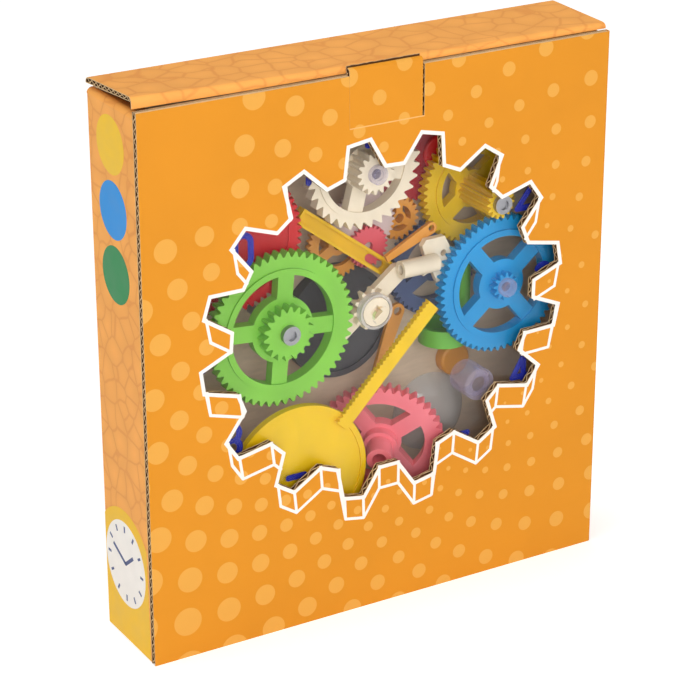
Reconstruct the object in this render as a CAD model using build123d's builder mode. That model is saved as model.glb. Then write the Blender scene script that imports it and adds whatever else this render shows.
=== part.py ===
from build123d import *
from math import cos, pi, radians, sin, sqrt
import os

# A boxed clock-building kit: a corrugated carton with a gear-shaped window, and behind the
# window a clear dial with the loose wheels, levers and pendulum of the clock.
# Millimetres, +Z up. X runs along the front, the front looks towards -Y, and the origin is
# the middle of the carton's footprint.

# Carton
WIDTH = 210.0
FRONT_HEIGHT = 228.0
DEPTH = 42.0
BOARD = 3.0
SEAM = 0.3
FOLD_RADIUS = 0.9
LID_FOLD_RADIUS = 2.4

# Share of the kit's full size for each millimetre of width, and of height up to the lock tab's crease
KIT_WIDTH_SHARE = 0.0047619
KIT_HEIGHT_SHARE = 0.0048309

# Window in the front panel
WINDOW_X = 1.5
WINDOW_Z = 125.5
WINDOW_TIP_HALF_WIDTH = 82.4
WINDOW_TIP_HALF_HEIGHT = 75.4
WINDOW_ROOT_HALF_WIDTH = 69.2
WINDOW_ROOT_HALF_HEIGHT = 63.3
WINDOW_ANGLES = (13.9, 35.9, 57.0, 80.9, 101.4, 121.7, 144.4, 167.5,
                 190.8, 214.5, 237.8, 263.1, 286.1, 307.6, 329.9, 351.1)
WINDOW_TIP_LAND = 3.1
WINDOW_ROOT_LAND = 3.8

# Lock tab, lid and flaps
TAB_WIDTH = 32.5
TAB_HEIGHT = 21.0
TAB_X = 0.6
TUCK_LENGTH = 12.0
TUCK_MARGIN = 7.0
TUCK_TILT = 14.0
TUCK_BEVEL = 2.8
DUST_LENGTH = 22.0
DUST_DROP = 0.3
DUST_SAG = 5.0
DUST_FOLD_SETBACK = 1.0
DUST_TAPER = 7.0
DUST_FRONT_SETBACK = 10.0
DUST_REAR_SETBACK = 2.0
GLUE_FLAP_WIDTH = 12.7
GLUE_FLAP_END = 8.0
BOTTOM_DUST_LENGTH = 28.0
BOTTOM_DUST_SETBACK = 4.0
BOTTOM_TUCK_LENGTH = 14.0

# Clear dial and its numerals
DIAL_RADIUS = 89.0
DIAL_THICKNESS = 2.0
DIAL_BORE = 4.0
NUMERAL_RING = 78.0
NUMERAL_HEIGHT = 15.0
NUMERAL_RELIEF = 0.25
STROKE_SHARE = 0.17
DIGIT_WIDTH_SHARE = 0.6
DIGIT_STEP_SHARE = 0.85

# Stand that the dial sits in
STAND_WIDTH = 138.0
STAND_HEIGHT = 27.0
STAND_WALL = 2.5
STAND_BACK_GAP = 0.4
CHEEK_X = 38.0
CHEEK_WIDTH = 12.0
CHEEK_TOP = 50.0
CHEEK_LIP = 2.0

# Axle pins
PIN_RADIUS = 2.0
PIN_HEAD_RADIUS = 3.9
PIN_HEAD = 2.3
PIN_DIMPLE_RADIUS = 2.1
PIN_DIMPLE = 1.0
PIN_SEAT = 0.4
RUNNING_FIT = 0.05
END_PLAY = 0.1

# Wheels: shapes that all of them share
WHEEL_FACE = 4.6
SPOKE_WIDTH = 7.0
RIM_BEAD = 2.6
RIM_BEAD_HEIGHT = 0.7
TOOTH_SHARE = 0.56
GEAR_TOOTH_SHARES = ((0.10, 0), (0.38, 1), (0.62, 1), (0.90, 0))
SAW_TOOTH_SHARES = ((0.04, 0), (0.62, 1), (0.76, 1), (0.90, 0))

# Green wheel
GREEN_X = -38.6
GREEN_Z = 124.9
GREEN_TIP = 32.1
GREEN_TEETH = 54
GREEN_BAND = 7.2
GREEN_HUB = 13.6
GREEN_PINION_TIP = 11.3
GREEN_PINION_TEETH = 18
GREEN_PINION_LENGTH = 5.2
GREEN_TURN = -5.0

# Blue wheel
BLUE_X = 63.0
BLUE_Z = 124.2
BLUE_TIP = 29.4
BLUE_TEETH = 56
BLUE_BAND = 6.6
BLUE_HUB = 10.8
BLUE_BOSS_TIP = 6.0
BLUE_BOSS_TEETH = 12
BLUE_BOSS_LENGTH = 3.4
BLUE_TURN = 40.0

# White escape wheel
WHITE_X = 1.0
WHITE_Z = 183.8
WHITE_TIP = 25.6
WHITE_TEETH = 33
WHITE_BAND = 4.6
WHITE_HUB = 8.8
WHITE_PINION_TIP = 8.6
WHITE_PINION_TEETH = 16
WHITE_PINION_LENGTH = 9.1
WHITE_TURN = -14.0

# Yellow wheel, whose long pinion reaches from the dial to the back of the carton
YELLOW_X = 59.6
YELLOW_Z = 160.8
YELLOW_TIP = 23.2
YELLOW_TEETH = 46
YELLOW_BAND = 6.6
YELLOW_HUB = 8.0
YELLOW_PINION_TIP = 6.6
YELLOW_PINION_TEETH = 14
YELLOW_TURN = 38.0

# Pink wheel, packed askew with its tube towards the dial
PINK_X = 11.8
PINK_Y = 0.95
PINK_Z = 62.6
PINK_TURN = -32.9
PINK_TILT = 9.9
PINK_TIP = 26.2
PINK_TEETH = 42
PINK_BAND = 5.6
PINK_HUB = 8.8
PINK_COLLAR = 6.9
PINK_COLLAR_LENGTH = 4.0
PINK_TUBE = 5.2
PINK_TUBE_LENGTH = 13.4
PINK_BORE = 2.9
PINK_SPOKE_TURN = 36.0

# Red wheel, a plain disc that leans against the back panel
RED_X = -56.8
RED_Z = 162.4
RED_TIP = 31.8
RED_TEETH = 66
RED_FACE = 3.0
RED_TURN = -15.0
RED_BEAD = 29.0
RED_HUB = 13.0
RED_HUB_LENGTH = 2.0

# Pendulum
BOB_X = -34.2
BOB_RADIUS = 31.0
BOB_EDGE = 2.4
BOB_CROWN = 1.6
BOB_LIP = 2.4
BOB_LIP_HEIGHT = 0.7
BOB_SETBACK = 4.2
ROD_ROOT_SHARE = 0.86
ROD_LENGTH = 61.2
ROD_ANGLE = 45.6
ROD_WIDTH = 6.4
ROD_THICKNESS = 2.6
ROD_SERRATIONS = 30
ROD_SERRATION = 0.9

# Channel arm
ARM_X = -2.6
ARM_Z = 149.8
ARM_LENGTH = 56.0
ARM_ANGLE = -37.1
ARM_WIDTH = 6.8
ARM_DEPTH = 4.0
ARM_WALL = 1.2
ARM_SLOT_LENGTH = 10.0
ARM_SLOT_WIDTH = 3.4
ARM_SLOT_SHARE = 0.29

# Crank lever and the clear ring on its hub
CRANK_X = 3.1
CRANK_Z = 124.4
CRANK_SHORT = 19.0
CRANK_LONG = 22.0
CRANK_ANGLE = 38.0
CRANK_WIDTH = 7.4
CRANK_THICKNESS = 3.0
CRANK_GEAR_TIP = 8.6
CRANK_GEAR_TEETH = 11
CRANK_GEAR_FACE = 3.6
CRANK_HUB = 6.0
CRANK_HUB_LENGTH = 3.4
CRANK_SOCKET = 4.2
RING_RADIUS = 7.4
RING_WALL = 1.1
RING_LENGTH = 3.2

# Pallet anchor
ANCHOR_X = 35.4
ANCHOR_Z = 138.8
ANCHOR_HALF = 9.6
ANCHOR_THICKNESS = 2.8
ANCHOR_HOLE = 1.4
ANCHOR_TUBE = 3.7
ANCHOR_TUBE_BORE = 2.1
ANCHOR_TUBE_RAISE_SHARE = 0.6
ANCHOR_TUBE_LENGTH = 17.0
ANCHOR_OUTLINE_SHARES = ((-0.80, 0.72), (-0.62, 0.98), (0.30, 1.0), (0.62, 0.38), (0.92, -0.16),
                         (0.36, -0.94), (-0.06, -1.0), (-0.30, -0.44), (-0.74, -0.62), (-0.62, 0.12))

# Small clear bush and clear dome
BUSH_X = 49.2
BUSH_Z = 84.6
BUSH_RADIUS = 7.0
BUSH_BORE = 5.8
BUSH_LENGTH = 11.4
BUSH_END = 1.4
BUSH_END_BORE = 3.4
DOME_X = 45.5
DOME_Z = 60.5
DOME_RADIUS = 17.5
DOME_HEIGHT = 9.0
DOME_WALL = 1.3

# Spring barrel
BARREL_X = -1.0
BARREL_Z = 113.0
BARREL_RADIUS = 24.0
BARREL_DEPTH = 5.5
BARREL_RIM = 2.4
BARREL_RECESS = 1.0
BARREL_BOSS = 5.0

# Winding drum and the arbor that stands on it
DRUM_X = 46.0
DRUM_Z = 97.0
DRUM_RADIUS = 10.5
DRUM_HEIGHT = 7.5
DRUM_WALL = 1.5
ARBOR_X = 55.6
ARBOR_LENGTH = 31.0
ARBOR_RADIUS = 3.0
ARBOR_FOOT_RADIUS = 4.6
ARBOR_FOOT = 2.0

# Small wheels at the back
BACK_FACE = 4.2
SMALL_BORE = 2.0
ROSE_X = 8.8
ROSE_Z = 146.0
ROSE_TIP = 9.0
ROSE_TEETH = 24
ROSE_FACE = 1.9
PALE_X = 7.8
PALE_Z = 156.0
PALE_TIP = 14.6
PALE_TEETH = 40
PALE_FACE = 1.6
SLATE_X = 45.0
SLATE_Z = 127.4
SLATE_TIP = 20.6
SLATE_TEETH = 44
SLATE_BAND = 5.0
SLATE_HUB = 6.0
CRIMSON_X = 29.0
CRIMSON_Z = 181.0
CRIMSON_TIP = 25.0
CRIMSON_TEETH = 54
CRIMSON_FACE = 2.5
CAP_X = 48.0
CAP_Z = 176.6
CAP_RADIUS = 8.0
CAP_EDGE = 0.8
CAP_HEIGHT = 1.7
ORANGE_X = -3.0
ORANGE_Z = 147.6
ORANGE_TIP = 14.0
ORANGE_TEETH = 34
ORANGE_BAND = 3.6
ORANGE_HUB = 4.4
ORANGE_FACE = 2.2
AMBER_X = 26.2
AMBER_Z = 153.4
AMBER_TIP = 9.2
AMBER_TEETH = 20
AMBER_BAND = 2.2
AMBER_HUB = 3.0
BUTTON_X = 56.2
BUTTON_Z = 83.4
BUTTON_RADIUS = 7.0
BUTTON_DEPTH = 5.0
BUTTON_EDGE = 1.2

# Clock hands
HAND_THICKNESS = 1.8
HAND_TAPER_SHARE = 0.55
HAND_BORE_SHARE = 0.28
MINUTE_X = 19.2
MINUTE_Z = 95.6
MINUTE_LENGTH = 37.0
MINUTE_ANGLE = 70.0
MINUTE_WIDTH = 6.6
HOUR_X = 23.4
HOUR_Z = 146.8
HOUR_LENGTH = 23.0
HOUR_ANGLE = 24.0
HOUR_WIDTH = 5.0

# Places that follow from the sizes above
front_y = -DEPTH / 2
back_y = DEPTH / 2
inner_front = front_y + BOARD
inner_back = back_y - BOARD
side_x = WIDTH / 2
inner_side = side_x - BOARD
panel_top = FRONT_HEIGHT - SEAM
lid_top = FRONT_HEIGHT + BOARD
side_top = FRONT_HEIGHT - DUST_DROP - BOARD
crease_z = FRONT_HEIGHT - TAB_HEIGHT
dial_rear = inner_front + DIAL_THICKNESS
pin_front = dial_rear + PIN_SEAT
axle_front = pin_front + PIN_HEAD + END_PLAY
axle_rear = inner_back - SEAM
back_layer = axle_rear - BACK_FACE
stand_top = BOARD + STAND_HEIGHT
kit_share = min(WIDTH * KIT_WIDTH_SHARE, crease_z * KIT_HEIGHT_SHARE)
kit_lift = BOARD * (1 - kit_share)
kit_rest = inner_back * (1 - kit_share)

os.makedirs("parts", exist_ok=True)


def keep(piece, label):
    """name a finished piece and write it out"""
    piece.part.label = label
    export_step(piece.part, f"parts/{label}.step")


def keep_kit(piece, label, back=0):
    """fit a finished piece of the kit to the carton, name it and write it out"""
    packed = piece.part.scale(kit_share).translate((0, back, kit_lift))
    packed.label = label
    export_step(packed, f"parts/{label}.step")


def facing(x, y, z, turn=0, down=0):
    """a plane that looks out of the front; turn swings it to the right, down nods it"""
    swing = radians(turn)
    nod = radians(down)
    look = (sin(swing) * cos(nod), -cos(swing) * cos(nod), -sin(nod))
    return Plane(origin=(x, y, z), x_dir=(cos(swing), sin(swing), 0), z_dir=look)


def along(x, y, z, angle):
    """a plane that looks out of the front with its x direction turned up by an angle"""
    slope = radians(angle)
    return Plane(origin=(x, y, z), x_dir=(cos(slope), 0, sin(slope)), z_dir=(0, -1, 0))


def tooth_outline(teeth, tip, shares, turn=0):
    """the points of a toothed rim, a few for each tooth"""
    tooth = TOOTH_SHARE * 2 * pi * tip / teeth
    points = []
    for index in range(teeth):
        for step_share, rise_share in shares:
            angle = radians(turn + 360 * (index + step_share) / teeth)
            radius = tip - tooth * (1 - rise_share)
            points.append((radius * cos(angle), radius * sin(angle)))
    return points


def spoked_wheel(rear, teeth, tip, band, hub, turn, pinion, shares=GEAR_TOOTH_SHARES):
    """a four-spoked toothed wheel with a pinion on its front; rear is the plane of its back face"""
    pinion_teeth, pinion_tip, pinion_length = pinion
    tooth = TOOTH_SHARE * 2 * pi * tip / teeth
    inside = tip - tooth - band
    with BuildPart() as wheel:
        with BuildSketch(rear):
            Polygon(*tooth_outline(teeth, tip, shares, turn))
            Circle(inside, mode=Mode.SUBTRACT)
        extrude(amount=WHEEL_FACE)
        with BuildSketch(rear):
            Circle(inside + RIM_BEAD)
            Circle(inside, mode=Mode.SUBTRACT)
        extrude(amount=WHEEL_FACE + RIM_BEAD_HEIGHT)
        with BuildSketch(rear):
            Circle(hub)
            with PolarLocations(0, 4, start_angle=turn):
                Rectangle(inside + RIM_BEAD, SPOKE_WIDTH, align=(Align.MIN, Align.CENTER))
        extrude(amount=WHEEL_FACE)
        with BuildSketch(rear.offset(WHEEL_FACE)):
            Polygon(*tooth_outline(pinion_teeth, pinion_tip, GEAR_TOOTH_SHARES, turn))
        extrude(amount=pinion_length)
        with BuildSketch(rear):
            Circle(PIN_RADIUS + RUNNING_FIT)
        extrude(amount=WHEEL_FACE + pinion_length, mode=Mode.SUBTRACT)
    return wheel


def axle_pin(x, z, rear):
    """a headed pin that reaches back from the dial to a given depth"""
    front = facing(x, pin_front, z)
    with BuildPart() as pin:
        with BuildSketch(front):
            Circle(PIN_HEAD_RADIUS)
        extrude(amount=-PIN_HEAD)
        with BuildSketch(front):
            Circle(PIN_DIMPLE_RADIUS)
        extrude(amount=-PIN_DIMPLE, mode=Mode.SUBTRACT)
        with BuildSketch(front.offset(-PIN_HEAD)):
            Circle(PIN_RADIUS)
        extrude(amount=pin_front + PIN_HEAD - rear)
    return pin


def plain_wheel(rear, teeth, tip, face, bore):
    """a toothed disc with a plain web"""
    with BuildPart() as wheel:
        with BuildSketch(rear):
            Polygon(*tooth_outline(teeth, tip, GEAR_TOOTH_SHARES))
            Circle(bore, mode=Mode.SUBTRACT)
        extrude(amount=face)
    return wheel


def ring_wheel(rear, teeth, tip, band, hub, face, tube_length):
    """a three-spoked toothed wheel with a tube behind its hub"""
    tooth = TOOTH_SHARE * 2 * pi * tip / teeth
    inside = tip - tooth - band
    with BuildPart() as wheel:
        with BuildSketch(rear):
            Polygon(*tooth_outline(teeth, tip, GEAR_TOOTH_SHARES))
            Circle(inside, mode=Mode.SUBTRACT)
        extrude(amount=face)
        with BuildSketch(rear):
            Circle(hub)
            with PolarLocations(0, 3, start_angle=90):
                Rectangle(inside + band / 2, hub, align=(Align.MIN, Align.CENTER))
        extrude(amount=face)
        with BuildSketch(rear.offset(face)):
            Circle(hub)
        extrude(amount=-face - tube_length)
        with BuildSketch(rear.offset(face)):
            Circle(SMALL_BORE)
        extrude(amount=-face - tube_length, mode=Mode.SUBTRACT)
    return wheel


def panel(label, low, high):
    """a flat piece of board between two corners"""
    size = [top - bottom for bottom, top in zip(low, high)]
    middle = [(bottom + top) / 2 for bottom, top in zip(low, high)]
    with BuildPart() as piece:
        with Locations(tuple(middle)):
            Box(*size)
    keep(piece, label)


# Front panel with the gear-shaped window and the cut-out of the lock tab
window_points = []
for lobe_mid, next_mid in zip(WINDOW_ANGLES, WINDOW_ANGLES[1:] + (WINDOW_ANGLES[0] + 360,)):
    root_mid = (lobe_mid + next_mid) / 2
    for angle, half_width, half_height in (
        (lobe_mid - WINDOW_TIP_LAND, WINDOW_TIP_HALF_WIDTH, WINDOW_TIP_HALF_HEIGHT),
        (lobe_mid + WINDOW_TIP_LAND, WINDOW_TIP_HALF_WIDTH, WINDOW_TIP_HALF_HEIGHT),
        (root_mid - WINDOW_ROOT_LAND, WINDOW_ROOT_HALF_WIDTH, WINDOW_ROOT_HALF_HEIGHT),
        (root_mid + WINDOW_ROOT_LAND, WINDOW_ROOT_HALF_WIDTH, WINDOW_ROOT_HALF_HEIGHT),
    ):
        window_points.append((kit_share * half_width * sin(radians(angle)),
                              kit_share * half_height * cos(radians(angle))))

with BuildPart() as front_panel:
    with BuildSketch(facing(0, inner_front, 0)):
        Rectangle(WIDTH, panel_top, align=(Align.CENTER, Align.MIN))
        with Locations((TAB_X, panel_top)):
            Rectangle(TAB_WIDTH + 2 * SEAM, panel_top - crease_z + SEAM,
                      align=(Align.CENTER, Align.MAX), mode=Mode.SUBTRACT)
        with Locations((kit_share * WINDOW_X, kit_lift + kit_share * WINDOW_Z)):
            Polygon(*window_points, mode=Mode.SUBTRACT)
    extrude(amount=BOARD)
    right_fold = front_panel.edges().filter_by(Axis.Z).sort_by(Axis.X)[-2:].sort_by(Axis.Y)[0]
    fillet(right_fold, FOLD_RADIUS)
keep(front_panel, "front_panel")

# The other walls and the bottom
panel("left_side_panel", (-side_x, inner_front, 0), (-inner_side, back_y, side_top - SEAM))
panel("right_side_panel", (inner_side, inner_front, 0), (side_x, back_y, side_top - SEAM))
panel("back_panel", (-inner_side, inner_back, BOARD), (inner_side, back_y, panel_top))
panel("bottom_panel", (-inner_side, inner_front, 0), (inner_side, back_y, BOARD))
panel("glue_flap", (-inner_side, inner_front, GLUE_FLAP_END),
      (-inner_side + GLUE_FLAP_WIDTH, inner_front + BOARD, side_top - GLUE_FLAP_END))
panel("bottom_tuck_flap", (-side_x + TUCK_MARGIN, inner_back - BOARD, BOARD),
      (side_x - TUCK_MARGIN, inner_back, BOARD + BOTTOM_TUCK_LENGTH))
for hand, side in (("left", -1), ("right", 1)):
    ends = sorted((side * inner_side, side * (inner_side - kit_share * BOTTOM_DUST_LENGTH)))
    panel(f"bottom_{hand}_flap", (ends[0], inner_front + BOARD + SEAM, BOARD),
          (ends[1], inner_back - BOTTOM_DUST_SETBACK, 2 * BOARD))

# Lid: its front fold stands behind the front panel's top edge and the lock tab
with BuildPart() as lid_panel:
    with BuildSketch(Plane.XY.offset(FRONT_HEIGHT)):
        with Locations((0, back_y)):
            Rectangle(WIDTH, back_y - inner_front - SEAM, align=(Align.CENTER, Align.MAX))
    extrude(amount=BOARD)
    top_rows = lid_panel.edges().filter_by(Axis.X).group_by(Axis.Z)[-1].group_by(Axis.Y)
    fillet(top_rows[0] + top_rows[-1], LID_FOLD_RADIUS)
keep(lid_panel, "lid_panel")

# Lock tab, hinged on its bottom crease and flush with the front and the lid
with BuildPart() as lock_tab:
    with BuildSketch(facing(TAB_X, inner_front, crease_z)):
        Rectangle(TAB_WIDTH, lid_top - crease_z, align=(Align.CENTER, Align.MIN))
    extrude(amount=BOARD)
keep(lock_tab, "lock_tab")

# Tuck flap behind the front panel: its top is bevelled where the board is creased
tuck_top = (inner_front + SEAM, FRONT_HEIGHT - SEAM)
tilt = radians(TUCK_TILT)
tuck_section = []
for down, across in ((0, 0), (TUCK_LENGTH, 0), (TUCK_LENGTH, BOARD), (TUCK_BEVEL, BOARD)):
    tuck_section.append((tuck_top[0] + down * sin(tilt) + across * cos(tilt),
                         tuck_top[1] - down * cos(tilt) + across * sin(tilt)))
with BuildPart() as tuck_flap:
    with BuildSketch(Plane.YZ):
        Polygon(*tuck_section)
    extrude(amount=side_x - TUCK_MARGIN, both=True)
keep(tuck_flap, "tuck_flap")

# Dust flaps under the lid: both edges are cut back from the fold, the free end sags
for hand, side in (("left", -1), ("right", 1)):
    sag = radians(DUST_SAG)
    fold = Plane(origin=(side * side_x, 0, side_top), x_dir=(-side * cos(sag), 0, -sin(sag)),
                 z_dir=(-side * sin(sag), 0, cos(sag)))
    near_fold = side * (inner_front + DUST_FOLD_SETBACK)
    near_front = side * (inner_front + DUST_FRONT_SETBACK)
    near_rear = side * (inner_back - DUST_REAR_SETBACK)
    with BuildPart() as dust_flap:
        with BuildSketch(fold):
            Polygon((0, -near_fold), (DUST_TAPER, -near_front), (DUST_LENGTH, -near_front),
                    (DUST_LENGTH, -near_rear + side * DUST_LENGTH), (0, -near_rear))
        extrude(amount=BOARD)
    keep(dust_flap, f"{hand}_dust_flap")

# Clear dial plate behind the window
with BuildPart() as dial_plate:
    with BuildSketch(facing(WINDOW_X, dial_rear, WINDOW_Z)):
        Circle(DIAL_RADIUS)
        Circle(DIAL_BORE, mode=Mode.SUBTRACT)
    extrude(amount=DIAL_THICKNESS)
keep_kit(dial_plate, "dial_plate")

# Numerals on the back of the dial, in shares of a digit's height. A line is its two ends, an arc
# is its centre, radius, start angle and turn, a loop is its centre, radius and upright stretch.
DIGIT_LINE_SHARES = {
    "1": [((0.32, 0.08), (0.32, 0.92)), ((0.32, 0.92), (0.12, 0.76))],
    "2": [((0.50, 0.62), (0.08, 0.08)), ((0.08, 0.08), (0.54, 0.08))],
    "4": [((0.42, 0.08), (0.42, 0.92)), ((0.42, 0.92), (0.06, 0.32)), ((0.06, 0.32), (0.56, 0.32))],
    "5": [((0.50, 0.92), (0.14, 0.92)), ((0.14, 0.92), (0.11, 0.57))],
    "6": [((0.10, 0.40), (0.40, 0.92))],
    "7": [((0.06, 0.92), (0.54, 0.92)), ((0.54, 0.92), (0.24, 0.08))],
    "9": [((0.50, 0.60), (0.20, 0.08))],
}
DIGIT_ARC_SHARES = {
    "2": [(0.30, 0.70, 0.22, -10, 180)],
    "3": [(0.28, 0.71, 0.21, -90, 240), (0.28, 0.30, 0.22, -150, 240)],
    "5": [(0.28, 0.34, 0.26, -150, 285)],
}
DIGIT_LOOP_SHARES = {
    "0": [(0.30, 0.50, 0.22, 0.40)],
    "6": [(0.30, 0.32, 0.24, 0.02)],
    "8": [(0.30, 0.71, 0.21, 0.01), (0.30, 0.30, 0.22, 0.01)],
    "9": [(0.30, 0.68, 0.24, 0.02)],
}
stroke = STROKE_SHARE * NUMERAL_HEIGHT
with BuildPart() as dial_numerals:
    for hour in range(1, 13):
        text = str(hour)
        around = radians(30 * hour)
        text_width = NUMERAL_HEIGHT * (DIGIT_WIDTH_SHARE + DIGIT_STEP_SHARE * (len(text) - 1))
        for place, digit in enumerate(text):
            left = NUMERAL_RING * sin(around) - text_width / 2 + place * DIGIT_STEP_SHARE * NUMERAL_HEIGHT
            low = NUMERAL_RING * cos(around) - NUMERAL_HEIGHT / 2
            with BuildSketch(facing(WINDOW_X + left, dial_rear + NUMERAL_RELIEF, WINDOW_Z + low)):
                for ends in DIGIT_LINE_SHARES.get(digit, []):
                    first, last = [Vector(*point_share) * NUMERAL_HEIGHT for point_share in ends]
                    run = last - first
                    lean = Vector(1, 0).get_signed_angle(run, Vector(0, 0, 1))
                    with Locations(Location(first + run / 2, lean)):
                        SlotCenterToCenter(run.length, stroke)
                for mid_share, up_share, radius_share, begin, turn in DIGIT_ARC_SHARES.get(digit, []):
                    with Locations(Vector(mid_share, up_share) * NUMERAL_HEIGHT):
                        bow = Edge.make_circle(radius_share * NUMERAL_HEIGHT, start_angle=begin,
                                               end_angle=begin + turn)
                        SlotArc(bow, stroke)
                for grow, mode in ((stroke / 2, Mode.ADD), (-stroke / 2, Mode.SUBTRACT)):
                    for mid_share, up_share, radius_share, tall_share in DIGIT_LOOP_SHARES.get(digit, []):
                        loop_middle = Vector(mid_share, up_share) * NUMERAL_HEIGHT
                        with Locations(Location(loop_middle, 90)):
                            SlotCenterToCenter(tall_share * NUMERAL_HEIGHT,
                                               2 * (radius_share * NUMERAL_HEIGHT + grow), mode=mode)
            extrude(amount=NUMERAL_RELIEF)
keep_kit(dial_numerals, "dial_numerals")

# Stand: a hollow foot, with two cheeks that the dial's edge sits in
with BuildPart() as clock_stand:
    stand_depth = inner_back - BOARD - STAND_BACK_GAP - inner_front - SEAM
    stand_mid = inner_front + SEAM + stand_depth / 2
    with Locations((0, stand_mid, BOARD)):
        Box(STAND_WIDTH, stand_depth, STAND_HEIGHT, align=(Align.CENTER, Align.CENTER, Align.MIN))
        Box(STAND_WIDTH - 2 * STAND_WALL, stand_depth - 2 * STAND_WALL, STAND_HEIGHT - STAND_WALL,
            align=(Align.CENTER, Align.CENTER, Align.MIN), mode=Mode.SUBTRACT)
    cheek_depth = dial_rear + SEAM + CHEEK_LIP - inner_front - SEAM
    with Locations((WINDOW_X - CHEEK_X, inner_front + SEAM, stand_top),
                   (WINDOW_X + CHEEK_X, inner_front + SEAM, stand_top)):
        Box(CHEEK_WIDTH, cheek_depth, CHEEK_TOP - stand_top, align=(Align.CENTER, Align.MIN, Align.MIN))
    with BuildSketch(facing(WINDOW_X, dial_rear + SEAM, WINDOW_Z)):
        Circle(DIAL_RADIUS + SEAM)
    extrude(amount=DIAL_THICKNESS + 2 * SEAM, mode=Mode.SUBTRACT)
keep_kit(clock_stand, "clock_stand")

# Wheels on axle pins behind the dial
green_wheel = spoked_wheel(
    facing(GREEN_X, axle_front + GREEN_PINION_LENGTH + WHEEL_FACE, GREEN_Z), GREEN_TEETH, GREEN_TIP,
    GREEN_BAND, GREEN_HUB, GREEN_TURN, (GREEN_PINION_TEETH, GREEN_PINION_TIP, GREEN_PINION_LENGTH))
keep_kit(green_wheel, "green_wheel")

blue_wheel = spoked_wheel(
    facing(BLUE_X, axle_front + BLUE_BOSS_LENGTH + WHEEL_FACE, BLUE_Z), BLUE_TEETH, BLUE_TIP,
    BLUE_BAND, BLUE_HUB, BLUE_TURN, (BLUE_BOSS_TEETH, BLUE_BOSS_TIP, BLUE_BOSS_LENGTH))
keep_kit(blue_wheel, "blue_wheel")

white_wheel = spoked_wheel(
    facing(WHITE_X, axle_front + WHITE_PINION_LENGTH + WHEEL_FACE, WHITE_Z), WHITE_TEETH, WHITE_TIP,
    WHITE_BAND, WHITE_HUB, WHITE_TURN, (WHITE_PINION_TEETH, WHITE_PINION_TIP, WHITE_PINION_LENGTH),
    SAW_TOOTH_SHARES)
keep_kit(white_wheel, "escape_wheel")

yellow_rear = back_layer - 2 * SEAM
yellow_wheel = spoked_wheel(
    facing(YELLOW_X, yellow_rear, YELLOW_Z), YELLOW_TEETH, YELLOW_TIP, YELLOW_BAND, YELLOW_HUB,
    YELLOW_TURN, (YELLOW_PINION_TEETH, YELLOW_PINION_TIP, yellow_rear - WHEEL_FACE - axle_front))
keep_kit(yellow_wheel, "yellow_wheel")

for label, x, z, rear in (
    ("green_axle_pin", GREEN_X, GREEN_Z, axle_rear), ("blue_axle_pin", BLUE_X, BLUE_Z, back_layer - SEAM),
    ("escape_axle_pin", WHITE_X, WHITE_Z, axle_rear), ("yellow_axle_pin", YELLOW_X, YELLOW_Z, axle_rear),
):
    pin = axle_pin(x, z, rear)
    keep_kit(pin, label)

# Pink wheel, askew: the stepped tube on its hub points at the dial
pink_mid = facing(PINK_X, PINK_Y, PINK_Z, PINK_TURN, PINK_TILT)
pink_inside = PINK_TIP - TOOTH_SHARE * 2 * pi * PINK_TIP / PINK_TEETH - PINK_BAND
with BuildPart() as pink_wheel:
    with BuildSketch(pink_mid):
        Polygon(*tooth_outline(PINK_TEETH, PINK_TIP, GEAR_TOOTH_SHARES))
        Circle(pink_inside, mode=Mode.SUBTRACT)
    extrude(amount=WHEEL_FACE / 2, both=True)
    with BuildSketch(pink_mid):
        Circle(PINK_HUB)
        with PolarLocations(0, 4, start_angle=PINK_SPOKE_TURN):
            Rectangle(pink_inside + PINK_BAND / 2, SPOKE_WIDTH, align=(Align.MIN, Align.CENTER))
    extrude(amount=WHEEL_FACE / 2, both=True)
    with BuildSketch(pink_mid):
        Circle(PINK_COLLAR)
    extrude(amount=WHEEL_FACE / 2 + PINK_COLLAR_LENGTH)
    with BuildSketch(pink_mid):
        Circle(PINK_TUBE)
    extrude(amount=WHEEL_FACE / 2 + PINK_TUBE_LENGTH)
    with BuildSketch(pink_mid.offset(-WHEEL_FACE / 2)):
        Circle(PINK_BORE)
    extrude(amount=WHEEL_FACE + PINK_TUBE_LENGTH, mode=Mode.SUBTRACT)
keep_kit(pink_wheel, "pink_wheel")

# Red wheel, leaning on the back panel with its outer edge
red_y = axle_rear - RED_TIP * sin(radians(-RED_TURN)) - RED_FACE
red_rear = facing(RED_X, red_y + RED_FACE / 2, RED_Z, RED_TURN)
with BuildPart() as red_wheel:
    with BuildSketch(red_rear):
        Polygon(*tooth_outline(RED_TEETH, RED_TIP, GEAR_TOOTH_SHARES))
    extrude(amount=RED_FACE)
    with BuildSketch(red_rear.offset(RED_FACE)):
        Circle(RED_BEAD)
        Circle(RED_BEAD - RIM_BEAD, mode=Mode.SUBTRACT)
    extrude(amount=RIM_BEAD_HEIGHT)
    with BuildSketch(red_rear.offset(RED_FACE)):
        Circle(RED_HUB)
    extrude(amount=RED_HUB_LENGTH)
    with BuildSketch(red_rear):
        Circle(PIN_RADIUS + RUNNING_FIT)
    extrude(amount=RED_FACE + RED_HUB_LENGTH, mode=Mode.SUBTRACT)
keep_kit(red_wheel, "red_wheel")

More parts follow.
